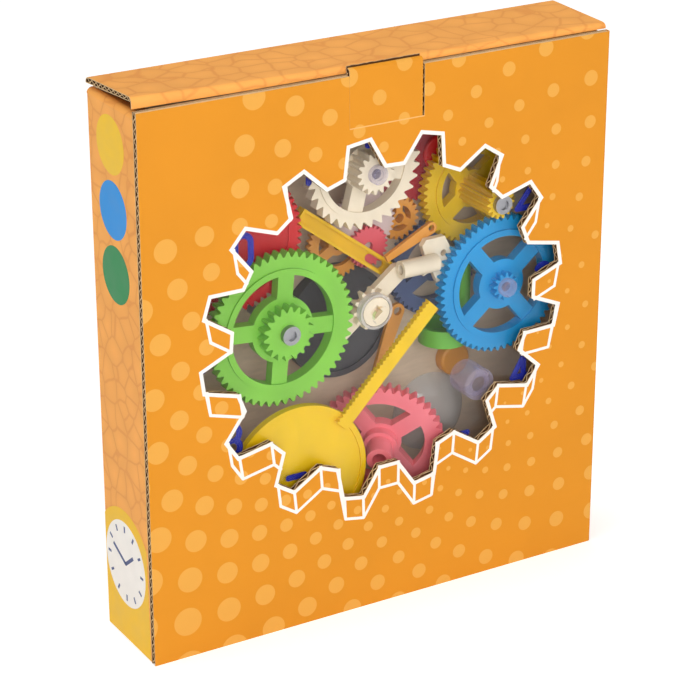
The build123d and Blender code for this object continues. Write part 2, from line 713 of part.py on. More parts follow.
# Pendulum: a crowned bob that stands on the stand, and a rod with a serrated edge
bob_z = stand_top + SEAM + BOB_RADIUS
bob_front = dial_rear + BOB_SETBACK
rod_root = ROD_ROOT_SHARE * BOB_RADIUS
serration_pitch = ROD_LENGTH / ROD_SERRATIONS
rod_points = [(0, -ROD_WIDTH / 2), (ROD_LENGTH, -ROD_WIDTH / 2), (ROD_LENGTH, ROD_WIDTH / 2)]
for index in range(ROD_SERRATIONS - 1, -1, -1):
    rod_points.append((serration_pitch * (index + 0.5), ROD_WIDTH / 2 - ROD_SERRATION))
    rod_points.append((serration_pitch * index, ROD_WIDTH / 2))
with BuildPart() as pendulum:
    with BuildSketch(Plane(origin=(BOB_X, bob_front, bob_z), x_dir=(1, 0, 0), z_dir=(0, 0, 1))):
        with BuildLine():
            dish_edge = BOB_RADIUS - BOB_LIP
            Polyline((0, -BOB_CROWN), (0, BOB_EDGE), (BOB_RADIUS, BOB_EDGE), (BOB_RADIUS, -BOB_LIP_HEIGHT),
                     (dish_edge, -BOB_LIP_HEIGHT), (dish_edge, 0))
            half_share = 0.5
            ThreePointArc((dish_edge, 0), (dish_edge * half_share, -BOB_CROWN * (1 - half_share ** 2)),
                          (0, -BOB_CROWN))
        make_face()
    revolve(axis=Axis((BOB_X, 0, bob_z), (0, 1, 0)))
    lean = radians(ROD_ANGLE)
    with BuildSketch(along(BOB_X + rod_root * cos(lean), bob_front + BOB_EDGE, bob_z + rod_root * sin(lean),
                           ROD_ANGLE)):
        Polygon(*rod_points)
    extrude(amount=BOB_EDGE + ROD_THICKNESS)
    with BuildSketch(along(BOB_X + rod_root * cos(lean), bob_front, bob_z + rod_root * sin(lean), ROD_ANGLE)):
        with Locations((BOB_RADIUS - rod_root + SEAM, 0)):
            Rectangle(ROD_LENGTH, 2 * ROD_WIDTH, align=(Align.MIN, Align.CENTER))
    extrude(amount=-BOB_EDGE, mode=Mode.SUBTRACT)
keep_kit(pendulum, "pendulum")

# Small wheels and caps against the back panel
slate_wheel = ring_wheel(facing(SLATE_X, axle_rear, SLATE_Z), SLATE_TEETH, SLATE_TIP, SLATE_BAND, SLATE_HUB,
                         BACK_FACE, 0)
keep_kit(slate_wheel, "slate_wheel")
crimson_front = axle_rear - CRIMSON_FACE
crimson_wheel = plain_wheel(facing(CRIMSON_X, axle_rear, CRIMSON_Z), CRIMSON_TEETH, CRIMSON_TIP,
                            CRIMSON_FACE, SMALL_BORE)
keep_kit(crimson_wheel, "crimson_wheel")
amber_wheel = ring_wheel(facing(AMBER_X, crimson_front - SEAM, AMBER_Z), AMBER_TEETH, AMBER_TIP, AMBER_BAND,
                         AMBER_HUB, WHEEL_FACE, 0)
keep_kit(amber_wheel, "amber_wheel")

# Stack in front of the spring barrel: orange wheel with a tube behind it, pale wheel, rose wheel, channel arm
barrel_front = axle_rear - BARREL_DEPTH
orange_rear = barrel_front - SEAM
orange_wheel = ring_wheel(facing(ORANGE_X, orange_rear, ORANGE_Z), ORANGE_TEETH, ORANGE_TIP, ORANGE_BAND,
                          ORANGE_HUB, ORANGE_FACE, axle_rear - orange_rear)
keep_kit(orange_wheel, "orange_wheel")
pale_rear = orange_rear - ORANGE_FACE - SEAM
pale_wheel = plain_wheel(facing(PALE_X, pale_rear, PALE_Z), PALE_TEETH, PALE_TIP, PALE_FACE, SMALL_BORE)
keep_kit(pale_wheel, "pale_wheel")
rose_rear = pale_rear - PALE_FACE - SEAM
rose_wheel = plain_wheel(facing(ROSE_X, rose_rear, ROSE_Z), ROSE_TEETH, ROSE_TIP, ROSE_FACE, SMALL_BORE)
keep_kit(rose_wheel, "rose_wheel")
arm_rear = rose_rear - ROSE_FACE - SEAM
with BuildPart() as channel_arm:
    with BuildSketch(along(ARM_X, arm_rear, ARM_Z, ARM_ANGLE)):
        Rectangle(ARM_LENGTH, ARM_WIDTH)
    extrude(amount=ARM_DEPTH)
    with BuildSketch(along(ARM_X, arm_rear - ARM_WALL, ARM_Z, ARM_ANGLE)):
        Rectangle(ARM_LENGTH - 2 * ARM_WALL, ARM_WIDTH - 2 * ARM_WALL)
    extrude(amount=ARM_DEPTH - ARM_WALL, mode=Mode.SUBTRACT)
    with BuildSketch(along(ARM_X, arm_rear, ARM_Z, ARM_ANGLE)):
        with Locations((ARM_SLOT_SHARE * ARM_LENGTH, 0)):
            SlotOverall(ARM_SLOT_LENGTH, ARM_SLOT_WIDTH)
    extrude(amount=ARM_DEPTH, mode=Mode.SUBTRACT)
keep_kit(channel_arm, "channel_arm")

# Spring barrel: a flat drum with a raised rim and a boss
with BuildPart() as spring_barrel:
    barrel_plane = facing(BARREL_X, axle_rear, BARREL_Z)
    with BuildSketch(barrel_plane):
        Circle(BARREL_RADIUS)
    extrude(amount=BARREL_DEPTH)
    with BuildSketch(barrel_plane.offset(BARREL_DEPTH)):
        Circle(BARREL_RADIUS - BARREL_RIM)
        Circle(BARREL_BOSS, mode=Mode.SUBTRACT)
    extrude(amount=-BARREL_RECESS, mode=Mode.SUBTRACT)
keep_kit(spring_barrel, "spring_barrel")

# Winding drum, a cup that opens upwards, and the arbor that stands on its rim
drum_y = axle_rear - DRUM_RADIUS
with BuildPart() as winding_drum:
    with BuildSketch(Plane((DRUM_X, drum_y, DRUM_Z))):
        Circle(DRUM_RADIUS)
    extrude(amount=DRUM_HEIGHT)
    with BuildSketch(Plane((DRUM_X, drum_y, DRUM_Z + DRUM_WALL))):
        Circle(DRUM_RADIUS - DRUM_WALL)
    extrude(amount=DRUM_HEIGHT - DRUM_WALL, mode=Mode.SUBTRACT)
keep_kit(winding_drum, "winding_drum")

arbor_z = DRUM_Z + DRUM_HEIGHT + SEAM
with BuildPart() as winding_arbor:
    with BuildSketch(Plane((ARBOR_X, drum_y, arbor_z))):
        Circle(ARBOR_FOOT_RADIUS)
    extrude(amount=ARBOR_FOOT)
    with BuildSketch(Plane((ARBOR_X, drum_y, arbor_z + ARBOR_FOOT))):
        Circle(ARBOR_RADIUS)
    extrude(amount=ARBOR_LENGTH - ARBOR_FOOT)
keep_kit(winding_arbor, "winding_arbor")

# Crank lever behind the green wheel: bar, small toothed collar and a hub with a square socket
crank_rear = axle_front + GREEN_PINION_LENGTH + WHEEL_FACE + SEAM + CRANK_THICKNESS
with BuildPart() as crank_lever:
    crank_plane = along(CRANK_X, crank_rear, CRANK_Z, CRANK_ANGLE)
    with BuildSketch(crank_plane):
        with Locations(((CRANK_LONG - CRANK_SHORT) / 2, 0)):
            SlotOverall(CRANK_LONG + CRANK_SHORT, CRANK_WIDTH)
    extrude(amount=CRANK_THICKNESS)
    with BuildSketch(crank_plane.offset(CRANK_THICKNESS)):
        Polygon(*tooth_outline(CRANK_GEAR_TEETH, CRANK_GEAR_TIP, GEAR_TOOTH_SHARES))
    extrude(amount=CRANK_GEAR_FACE)
    with BuildSketch(crank_plane.offset(CRANK_THICKNESS + CRANK_GEAR_FACE)):
        Circle(CRANK_HUB)
        Rectangle(CRANK_SOCKET, CRANK_SOCKET, mode=Mode.SUBTRACT)
    extrude(amount=CRANK_HUB_LENGTH)
keep_kit(crank_lever, "crank_lever")

ring_rear = crank_rear - CRANK_THICKNESS - CRANK_GEAR_FACE - SEAM
with BuildPart() as clear_ring:
    with BuildSketch(facing(CRANK_X, ring_rear, CRANK_Z)):
        Circle(RING_RADIUS)
        Circle(RING_RADIUS - RING_WALL, mode=Mode.SUBTRACT)
    extrude(amount=RING_LENGTH)
keep_kit(clear_ring, "clear_ring")

# Pallet anchor behind the blue wheel, with its tube lying along the front of it
anchor_front = axle_front + BLUE_BOSS_LENGTH + WHEEL_FACE + SEAM
tube_y = anchor_front - ANCHOR_TUBE_RAISE_SHARE * ANCHOR_TUBE
with BuildPart() as pallet_anchor:
    with BuildSketch(facing(ANCHOR_X, anchor_front + ANCHOR_THICKNESS, ANCHOR_Z)):
        Polygon(*[(across_share * ANCHOR_HALF, up_share * ANCHOR_HALF)
                  for across_share, up_share in ANCHOR_OUTLINE_SHARES])
        with Locations((ANCHOR_HALF / 4, ANCHOR_HALF / 4)):
            Circle(ANCHOR_HOLE, mode=Mode.SUBTRACT)
    extrude(amount=ANCHOR_THICKNESS)
    tube_plane = Plane(origin=(ANCHOR_X - ANCHOR_HALF / 4, tube_y, ANCHOR_Z), x_dir=(0, 0, 1), z_dir=(-1, 0, 0))
    with BuildSketch(tube_plane):
        Circle(ANCHOR_TUBE)
    extrude(amount=ANCHOR_TUBE_LENGTH)
    with BuildSketch(tube_plane.offset(ANCHOR_TUBE_LENGTH)):
        Circle(ANCHOR_TUBE_BORE)
    extrude(amount=-ANCHOR_TUBE_LENGTH / 2, mode=Mode.SUBTRACT)
keep_kit(pallet_anchor, "pallet_anchor")

# Clear bush behind the dial
with BuildPart() as clear_bush:
    bush_front = facing(BUSH_X, pin_front, BUSH_Z)
    with BuildSketch(bush_front):
        Circle(BUSH_RADIUS)
        Circle(BUSH_END_BORE, mode=Mode.SUBTRACT)
    extrude(amount=-BUSH_LENGTH)
    with BuildSketch(bush_front.offset(-BUSH_END)):
        Circle(BUSH_BORE)
    extrude(amount=BUSH_END - BUSH_LENGTH, mode=Mode.SUBTRACT)
keep_kit(clear_bush, "clear_bush")

# Clear dome, a thin shell with its open side on the back panel
dome_outer = (DOME_RADIUS ** 2 + DOME_HEIGHT ** 2) / (2 * DOME_HEIGHT)
dome_inner = dome_outer - DOME_WALL
dome_sink = dome_outer - DOME_HEIGHT
dome_mouth = sqrt(dome_inner ** 2 - dome_sink ** 2)
with BuildPart() as clear_dome:
    with BuildSketch(Plane(origin=(DOME_X, axle_rear, DOME_Z), x_dir=(1, 0, 0), z_dir=(0, 0, 1))):
        with BuildLine():
            Line((0, DOME_WALL - DOME_HEIGHT), (0, -DOME_HEIGHT))
            RadiusArc((0, -DOME_HEIGHT), (DOME_RADIUS, 0), -dome_outer)
            Line((DOME_RADIUS, 0), (dome_mouth, 0))
            RadiusArc((dome_mouth, 0), (0, DOME_WALL - DOME_HEIGHT), dome_inner)
        make_face()
    revolve(axis=Axis((DOME_X, 0, DOME_Z), (0, 1, 0)))
keep_kit(clear_dome, "clear_dome", kit_rest)

# Red cap on the crimson wheel, orange button on the back panel
with BuildPart() as red_cap:
    with BuildSketch(facing(CAP_X, crimson_front - SEAM, CAP_Z)):
        Circle(CAP_RADIUS)
    extrude(amount=CAP_HEIGHT)
    fillet(red_cap.faces().sort_by(Axis.Y)[0].edges(), CAP_EDGE)
keep_kit(red_cap, "red_cap")

with BuildPart() as orange_button:
    with BuildSketch(facing(BUTTON_X, axle_rear, BUTTON_Z)):
        Circle(BUTTON_RADIUS)
    extrude(amount=BUTTON_DEPTH)
    fillet(orange_button.faces().sort_by(Axis.Y)[0].edges(), BUTTON_EDGE)
keep_kit(orange_button, "orange_button", kit_rest)


# Clock hands: a tapered blade with a round eye
def clock_hand(base, length, width):
    """a hand that tapers from its eye to its point, cut from flat sheet"""
    point_width = width * HAND_TAPER_SHARE
    with BuildPart() as hand_piece:
        with BuildSketch(base):
            Polygon((-length / 2, -point_width / 2), (length / 2, -width / 2),
                    (length / 2, width / 2), (-length / 2, point_width / 2))
            with Locations((length / 2, 0)):
                Circle(width / 2)
                Circle(width * HAND_BORE_SHARE, mode=Mode.SUBTRACT)
        extrude(amount=HAND_THICKNESS)
    return hand_piece


minute_hand = clock_hand(along(MINUTE_X, barrel_front - SEAM, MINUTE_Z, MINUTE_ANGLE), MINUTE_LENGTH,
                         MINUTE_WIDTH)
keep_kit(minute_hand, "minute_hand")
hour_rear = anchor_front + ANCHOR_THICKNESS + SEAM + HAND_THICKNESS
hour_hand = clock_hand(along(HOUR_X, hour_rear, HOUR_Z, HOUR_ANGLE), HOUR_LENGTH, HOUR_WIDTH)
keep_kit(hour_hand, "hour_hand")
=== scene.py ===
import bpy
import bmesh
import math
import random
from mathutils import Matrix, Vector


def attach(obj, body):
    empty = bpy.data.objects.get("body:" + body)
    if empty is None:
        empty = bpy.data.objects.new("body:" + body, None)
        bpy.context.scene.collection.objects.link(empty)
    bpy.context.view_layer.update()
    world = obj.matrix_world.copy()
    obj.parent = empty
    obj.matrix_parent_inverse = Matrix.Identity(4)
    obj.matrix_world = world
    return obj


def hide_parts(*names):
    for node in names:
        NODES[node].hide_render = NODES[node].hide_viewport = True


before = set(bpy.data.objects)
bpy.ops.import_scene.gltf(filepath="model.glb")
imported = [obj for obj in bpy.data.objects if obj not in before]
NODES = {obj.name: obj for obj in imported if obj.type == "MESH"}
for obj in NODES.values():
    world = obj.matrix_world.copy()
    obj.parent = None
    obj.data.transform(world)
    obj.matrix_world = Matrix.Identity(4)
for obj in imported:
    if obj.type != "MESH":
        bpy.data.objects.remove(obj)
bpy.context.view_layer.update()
MM = 0.001

# Sizes of the carton, in millimetres, as in the solids
BOARD = 3.0
HALF_WIDTH = 105.0
FRONT_Y = -21.0
INNER_Y = -18.0
BACK_Y = 21.0
PANEL_TOP = 227.7
SIDE_TOP = 224.7
LID_LOW = 228.0
LID_TOP = 231.0
LID_FRONT = -17.7
TAB_LOW = 207.0
TAB_MID = 0.6
TAB_HALF = 16.25
TAB_GAP = 0.3
WINDOW_X = 1.5
WINDOW_Z = 125.5
WINDOW_TIP = (82.4, 75.4)
WINDOW_ROOT = (69.2, 63.3)
WINDOW_ANGLES = (13.9, 35.9, 57.0, 80.9, 101.4, 121.7, 144.4, 167.5,
                 190.8, 214.5, 237.8, 263.1, 286.1, 307.6, 329.9, 351.1)
WINDOW_TIP_LAND = 3.1
WINDOW_ROOT_LAND = 3.8

# Slit on the right of the lock tab, which stands a little open
TAB_SLIT = 0.9

# Corrugated board: the thickness of its papers, and how far the medium stands back at its ends
LINER = 0.45
MEDIUM = 0.5
EASE = 0.1

# Flutes: their pitch, points per pitch, how peaked they are, and where each board's wave starts and ends
FLUTE_PITCH = 3.66
FLUTE_STEPS = 10
FLUTE_PEAK = 0.97
BOARD_MID = (FRONT_Y + INNER_Y) / 2
SWING = (INNER_Y - FRONT_Y) / 2 - LINER - MEDIUM / 2
FRONT_WAVE = (0.4, PANEL_TOP - 0.2)
LID_WAVE = (LID_FRONT + 1.6, BACK_Y - 1.6)
TAB_WAVE = (TAB_LOW + 0.2, LID_TOP - 2.4)

# Pressed flutes along the front panel's top: their height, and how far from the left they start
TOP_EDGE = 0.5
TOP_EDGE_START = 0.3

# Radius of each fold, and where the lock tab's roll starts and ends
FOLD = 0.9
LID_FOLD = 2.4
BACK_ROUND = 1.0
WALL_ROUND = 1.2
WALL_FOOT_ROUND = 0.8
TAB_ROLL = 1.7
TAB_STRAIGHT = 4
TAB_SINK = 0.4

# Lid: how far its front edge stands up along x, how that fades to the back, and how its left end is crushed
LID_SPRING = ((-105, 2.0), (-70, 0.6), (-35, -0.2), (-10, -0.4), (25, -0.5), (65, -0.6), (105, -0.8))
LID_BEND = 1.2
LID_STATIONS = range(-98, 100, 7)
CRUSH = 0.42
CRUSH_START = -60
CRUSH_RUN = 45
CRUSH_AT_BACK = 0.4
SKIN_DROP = LID_TOP - LID_LOW - 0.4

# Dust flaps: how far they hang, and the left one's outline as (out from its fold, y)
DUST_SAG = 24.0
DUST_LENGTH = 22.0
DUST_ROUND = 2.3
DUST_PLAN = ((0, -17.4), (7, -8.0), (DUST_LENGTH, -8.0), (DUST_LENGTH, -6.0), (2.6, 14.5), (2.6, 20.7), (0, 20.7))

# Lock tab's crease, as (in from the front, up from the crease)
CREASE = ((0.30, -0.55), (0.06, -0.30), (0.02, -0.05), (0.10, 0.12))
CREASE_THICK = 0.18

# Print: lines round the window
INK = 0.05
LINE_WIDTH = 1.55
DROP = 10.0
DROP_LEAN = 0.022
DROP_LINE_WIDTH = LINE_WIDTH * 0.8
DROP_LINE_INK = INK * 0.3
DROP_LINE_STEP = INK * 0.005
STROKE_END = 0.4
SHORTEST_RUN = 0.06

# Print: the front's dots, on rings. A dot's size is its distance from the middle times DOT_GROWTH, less
# DOT_LESS and a drift across the panel. No dot stands within DOT_BARE of the top left corner
DOT_COUNT = 31
DOT_MIDDLE = (8.0, 108.0)
DOT_RING_SHIFT = 0.375
DOT_TURN_SHIFT = 0.222
DOT_GROWTH = 0.0479
DOT_LESS = 1.81
DOT_DRIFT = (0.0106, 0.0043)
DOT_BARE = 45.0
DOT_SOFT = 0.12

# Print: the cobbles, counted per metre
SCALE_COUNT = (86, 104, 104)
SCALE_BEND = 0.5
SCALE_RANDOM = 0.85
SCALE_EDGE = (0.02, 0.07)

# Print: badges, and the field with its round dial, on the left side in y and z
BADGES = ((1.8, 209.6, "#F4C41C"), (1.4, 184.0, "#168FDC"), (1.0, 158.2, "#1B8446"))
BADGE_RADIUS = 11.5
FIELD_MIDDLE = (2.6, 34.8)
FIELD_RADIUS = 23.6
FIELD_FOOT = ((-17.4, 0.6), (20.4, 0.6))
FIELD_ARC = (41.0, 144.5)
FIELD_STEPS = 24
DIAL_SIZE = (17.4, 18.4)
DIAL_INK = INK * 1.6
MARK_INK = INK * 2.2
TICK_START = (13.2, 14.0)
TICK_END = (15.4, 16.3)
TICK_WIDTH = 1.1
HANDS = ((-52, 8.5), (64, 11.5))
HAND_WIDTH = 1.5

# Camera, light and floor, in metres
CAMERA_PLACE = (-0.4767, -0.7983, 0.5026)
CAMERA_FORWARD = (0.4677, 0.7937, -0.389)
CAMERA_RIGHT = (0.8611, -0.5085, -0.002)
CAMERA_LENS = 131.17
LAMP_AIM = (0, 0, 0.1)
WORLD_LIGHT = 0.34
FLOOR_HALF = 6
FLOOR_GLOW = (0.40, 0.66)
FLOOR_GLOW_REACH = (0.5, 2.0)

# How near counts as on a face, and how far a cut goes past one
NEAR = 0.1
PAST = 1

# A noise's usual range
NOISE_LOW = 0.3
NOISE_HIGH = 0.7


def rgb(code):
    """a colour as written in a paint program, in linear light"""
    parts = [int(code[i:i + 2], 16) / 255 for i in (1, 3, 5)]
    return tuple(((c + 0.055) / 1.055) ** 2.4 if c > 0.04045 else c / 12.92 for c in parts) + (1.0,)


def shade(colour, share):
    """a colour made lighter or darker"""
    return tuple(min(1.0, c * share) for c in colour[:3]) + (1.0,)


class Graph:
    """a material's nodes, with short calls for the ones used here"""

    def __init__(self, name):
        self.material = bpy.data.materials.new(name)
        self.material.use_nodes = True
        self.tree = self.material.node_tree
        self.bsdf = self.tree.nodes["Principled BSDF"]
        coordinates = self.tree.nodes.new("ShaderNodeTexCoord")
        self.place = coordinates.outputs["Object"]
        self.normal = coordinates.outputs["Normal"]

    def node(self, kind, **settings):
        made = self.tree.nodes.new(kind)
        for key, value in settings.items():
            setattr(made, key, value)
        return made

    def feed(self, socket, value):
        if isinstance(value, bpy.types.NodeSocket):
            self.tree.links.new(value, socket)
        else:
            socket.default_value = value

    def math(self, operation, first, second=0.0, clamp=False):
        made = self.node("ShaderNodeMath", operation=operation, use_clamp=clamp)
        self.feed(made.inputs[0], first)
        self.feed(made.inputs[1], second)
        return made.outputs[0]

    def parts(self, vector):
        made = self.node("ShaderNodeSeparateXYZ")
        self.feed(made.inputs[0], vector)
        return made.outputs

    def span(self, first, second):
        """the length of a step with these two sides"""
        return self.math("SQRT", self.math("ADD", self.math("MULTIPLY", first, first),
                                           self.math("MULTIPLY", second, second)))

    def stretched(self, scale):
        made = self.node("ShaderNodeMapping")
        self.feed(made.inputs["Vector"], self.place)
        made.inputs["Scale"].default_value = scale
        return made.outputs[0]

    def noise(self, scale, detail=2.0, rough=0.5, vector=None):
        made = self.node("ShaderNodeTexNoise")
        self.feed(made.inputs["Vector"], vector or self.place)
        made.inputs["Scale"].default_value = scale
        made.inputs["Detail"].default_value = detail
        made.inputs["Roughness"].default_value = rough
        return made.outputs[0]

    def spread(self, value, low, high, new_low=0.0, new_high=1.0):
        made = self.node("ShaderNodeMapRange", clamp=True)
        self.feed(made.inputs["Value"], value)
        for socket, number in (("From Min", low), ("From Max", high), ("To Min", new_low), ("To Max", new_high)):
            self.feed(made.inputs[socket], number)
        return made.outputs[0]

    def vary(self, noise, low=0.0, high=1.0):
        """a noise's usual range, spread from low to high"""
        return self.spread(noise, NOISE_LOW, NOISE_HIGH, low, high)

    def mix(self, share, first, second):
        made = self.node("ShaderNodeMix", data_type="RGBA")
        self.feed(made.inputs[0], share)
        self.feed(made.inputs[6], first)
        self.feed(made.inputs[7], second)
        return made.outputs[2]

    def tone(self, noise, colour, dark, light):
        """a colour that a noise makes darker and lighter"""
        return self.mix(self.vary(noise), shade(colour, dark), shade(colour, light))

    def bump(self, height, strength, distance=0.0001):
        made = self.node("ShaderNodeBump")
        made.inputs["Strength"].default_value = strength
        made.inputs["Distance"].default_value = distance
        self.feed(made.inputs["Height"], height)
        self.feed(self.bsdf.inputs["Normal"], made.outputs[0])

    def set(self, **values):
        for key, value in values.items():
            self.feed(self.bsdf.inputs[key.replace("_", " ")], value)
        return self.material


KRAFT = rgb("#B98A57")
RAW_EDGE = rgb("#DDBB8C")
INNER_LINER = rgb("#DCC6AC")
# Paper inside the flutes: a little darker paper, with the painted shade of the deep flute hollows on top
FLUTE_SHADE_COLOUR = rgb("#5E3C20")
ORANGE = rgb("#DE8F1E")
ORANGE_DOT = rgb("#E8A748")
SCALE_FILL = rgb("#F6AA54")
SCALE_LINE = rgb("#E49045")
WHITE = (1, 1, 1, 1)


def kraft_colour(graph, base):
    """brown paper: long fibres and clouds"""
    fibre = graph.noise(700, 3.0, 0.6, graph.stretched((0.25, 1, 1)))
    colour = graph.tone(fibre, base, 0.89, 1.06)
    return graph.mix(graph.spread(graph.noise(45), 0.35, 0.65, 0.0, 0.45), colour, shade(base, 0.90)), fibre


def flute_shadow(graph):
    """the faint washboard of the flutes under the print"""
    up = graph.parts(graph.place)[2]
    return graph.math("SINE", graph.math("MULTIPLY", up, 2 * math.pi / (FLUTE_PITCH * MM)))


def dots(graph):
    """a halftone of round dots on rings round a middle, that grow away from it and leave one corner bare"""
    work = graph.math
    step = 2 * math.pi / DOT_COUNT
    across, _, up = graph.parts(graph.place)
    dx = work("SUBTRACT", work("DIVIDE", across, MM), DOT_MIDDLE[0])
    dz = work("SUBTRACT", work("DIVIDE", up, MM), DOT_MIDDLE[1])
    rings = work("DIVIDE", work("LOGARITHM", graph.span(dx, dz), math.e), step / 2)
    ring_number = work("ROUND", work("SUBTRACT", rings, DOT_RING_SHIFT))
    shift = work("ADD", work("MULTIPLY", ring_number, 0.5), DOT_TURN_SHIFT)
    turns = work("SUBTRACT", work("DIVIDE", work("ARCTAN2", dz, dx), step), shift)
    angle = work("MULTIPLY", work("ADD", work("ROUND", turns), shift), step)
    far = work("EXPONENT", work("MULTIPLY", work("ADD", ring_number, DOT_RING_SHIFT), step / 2))
    dot_x = work("MULTIPLY", far, work("COSINE", angle))
    dot_z = work("MULTIPLY", far, work("SINE", angle))
    reach = graph.span(work("SUBTRACT", dx, dot_x), work("SUBTRACT", dz, dot_z))
    drift = work("ADD", work("MULTIPLY", dot_x, DOT_DRIFT[0]), work("MULTIPLY", dot_z, DOT_DRIFT[1]))
    size = work("SUBTRACT", work("SUBTRACT", work("MULTIPLY", far, DOT_GROWTH), DOT_LESS), drift)
    corner = graph.span(work("ADD", dot_x, HALF_WIDTH + DOT_MIDDLE[0]),
                        work("SUBTRACT", dot_z, PANEL_TOP - DOT_MIDDLE[1]))
    size = work("MULTIPLY", size, work("GREATER_THAN", corner, DOT_BARE))
    return graph.spread(work("SUBTRACT", size, reach), -DOT_SOFT, DOT_SOFT)


def scales(graph):
    """rounded cobbles with darker outlines"""
    bent = graph.node("ShaderNodeVectorMath", operation="ADD")
    graph.feed(bent.inputs[0], graph.stretched(SCALE_COUNT))
    graph.feed(bent.inputs[1], graph.math("MULTIPLY", graph.noise(70, 1.0), SCALE_BEND))
    reach = {}
    for feature in ("DISTANCE_TO_EDGE", "F1"):
        cells = graph.node("ShaderNodeTexVoronoi", feature=feature)
        graph.feed(cells.inputs["Vector"], bent.outputs[0])
        cells.inputs["Scale"].default_value = 1.0
        cells.inputs["Randomness"].default_value = SCALE_RANDOM
        reach[feature] = cells.outputs["Distance"]
    line = graph.spread(reach["DISTANCE_TO_EDGE"], *SCALE_EDGE, 1.0, 0.0)
    fill = graph.mix(graph.spread(reach["F1"], 0.0, 0.7), shade(SCALE_FILL, 1.10), shade(SCALE_FILL, 0.96))
    return graph.mix(graph.math("MULTIPLY", line, 0.6), fill, SCALE_LINE)


def board_material(name, printed=None, axis=None, base=KRAFT):
    """board with a print, only on the side that looks along an axis if one is given; else bare paper"""
    graph = Graph(name)
    paper, fibre = kraft_colour(graph, base)
    colour = paper
    if printed == "dots":
        ink = graph.tone(graph.noise(24, 3.0), ORANGE, 0.97, 1.03)
        colour = graph.mix(graph.math("MULTIPLY", dots(graph), 0.92), ink, ORANGE_DOT)
    elif printed == "scales":
        cloud = graph.vary(graph.noise(24, 3.0), 0.0, 0.25)
        colour = graph.mix(cloud, scales(graph), shade(SCALE_FILL, 1.08))
    if axis is not None:
        aim = graph.node("ShaderNodeVectorMath", operation="DOT_PRODUCT")
        graph.feed(aim.inputs[0], graph.normal)
        aim.inputs[1].default_value = axis
        colour = graph.mix(graph.spread(aim.outputs["Value"], 0.1, 0.25), paper, colour)
    grain = graph.noise(2600)
    graph.bump(graph.math("ADD", graph.math("MULTIPLY", flute_shadow(graph), 0.35), grain), 0.12)
    rough = graph.vary(grain, 0.50, 0.64) if printed else graph.vary(fibre, 0.78, 0.95)
    graph.bsdf.inputs["Specular IOR Level"].default_value = 0.22
    return graph.set(Base_Color=colour, Roughness=rough)


def ink_material(name, code):
    """a solid printed colour"""
    graph = Graph(name)
    cloud = graph.noise(130, 3.0)
    graph.bump(graph.noise(2600), 0.08)
    return graph.set(Base_Color=graph.tone(cloud, rgb(code), 0.96, 1.02), Roughness=graph.vary(cloud, 0.50, 0.60))


def plastic(name, code, low=0.26, high=0.40, cover=1.0):
    """moulded plastic: slight flow marks in colour and gloss, a fine grain"""
    graph = Graph(name)
    flow = graph.noise(85, 3.0, 0.55, graph.stretched((1, 1, 0.45)))
    grain = graph.noise(1900)
    graph.bump(graph.math("ADD", graph.math("MULTIPLY", flow, 0.6), grain), 0.05, 0.00015)
    graph.bsdf.inputs["Specular IOR Level"].default_value = 0.35
    graph.bsdf.inputs["Alpha"].default_value = cover
    return graph.set(Base_Color=graph.tone(flow, rgb(code), 0.91, 1.06), Roughness=graph.vary(grain, low, high))


def clear_plastic(name, code, middle, edge):
    """clear plastic that shows at its edges"""
    graph = Graph(name)
    haze = graph.noise(60)
    rim = graph.node("ShaderNodeLayerWeight")
    rim.inputs["Blend"].default_value = 0.35
    cover = graph.spread(rim.outputs["Facing"], 0.15, 0.95, middle, edge)
    graph.bsdf.inputs["Specular IOR Level"].default_value = 1.0
    return graph.set(Base_Color=graph.tone(haze, rgb(code), 0.95, 1.04), Roughness=graph.vary(haze, 0.05, 0.12),
                     Alpha=cover)


def clear_sheet(name):
    """a thin clear sheet: see-through, with the reflections of its two faces"""
    graph = Graph(name)
    haze = graph.noise(40)
    tone = graph.mix(graph.vary(haze), (0.90, 0.90, 0.92, 1), WHITE)
    rim = graph.node("ShaderNodeLayerWeight")
    rim.inputs["Blend"].default_value = 0.25
    cover = graph.spread(rim.outputs["Fresnel"], 0.02, 1.0, 0.006, 0.4)
    graph.bsdf.inputs["Metallic"].default_value = 1.0
    return graph.set(Base_Color=tone, Roughness=graph.vary(haze, 0.06, 0.12), Alpha=cover)


def steel(name):
    """turned steel with a fine grain"""
    graph = Graph(name)
    grain = graph.noise(1500)
    tone = graph.mix(graph.vary(grain), rgb("#8E8E92"), rgb("#A8A8AC"))
    graph.bump(grain, 0.02)
    graph.bsdf.inputs["Metallic"].default_value = 1.0
    return graph.set(Base_Color=tone, Roughness=graph.vary(grain, 0.30, 0.40))


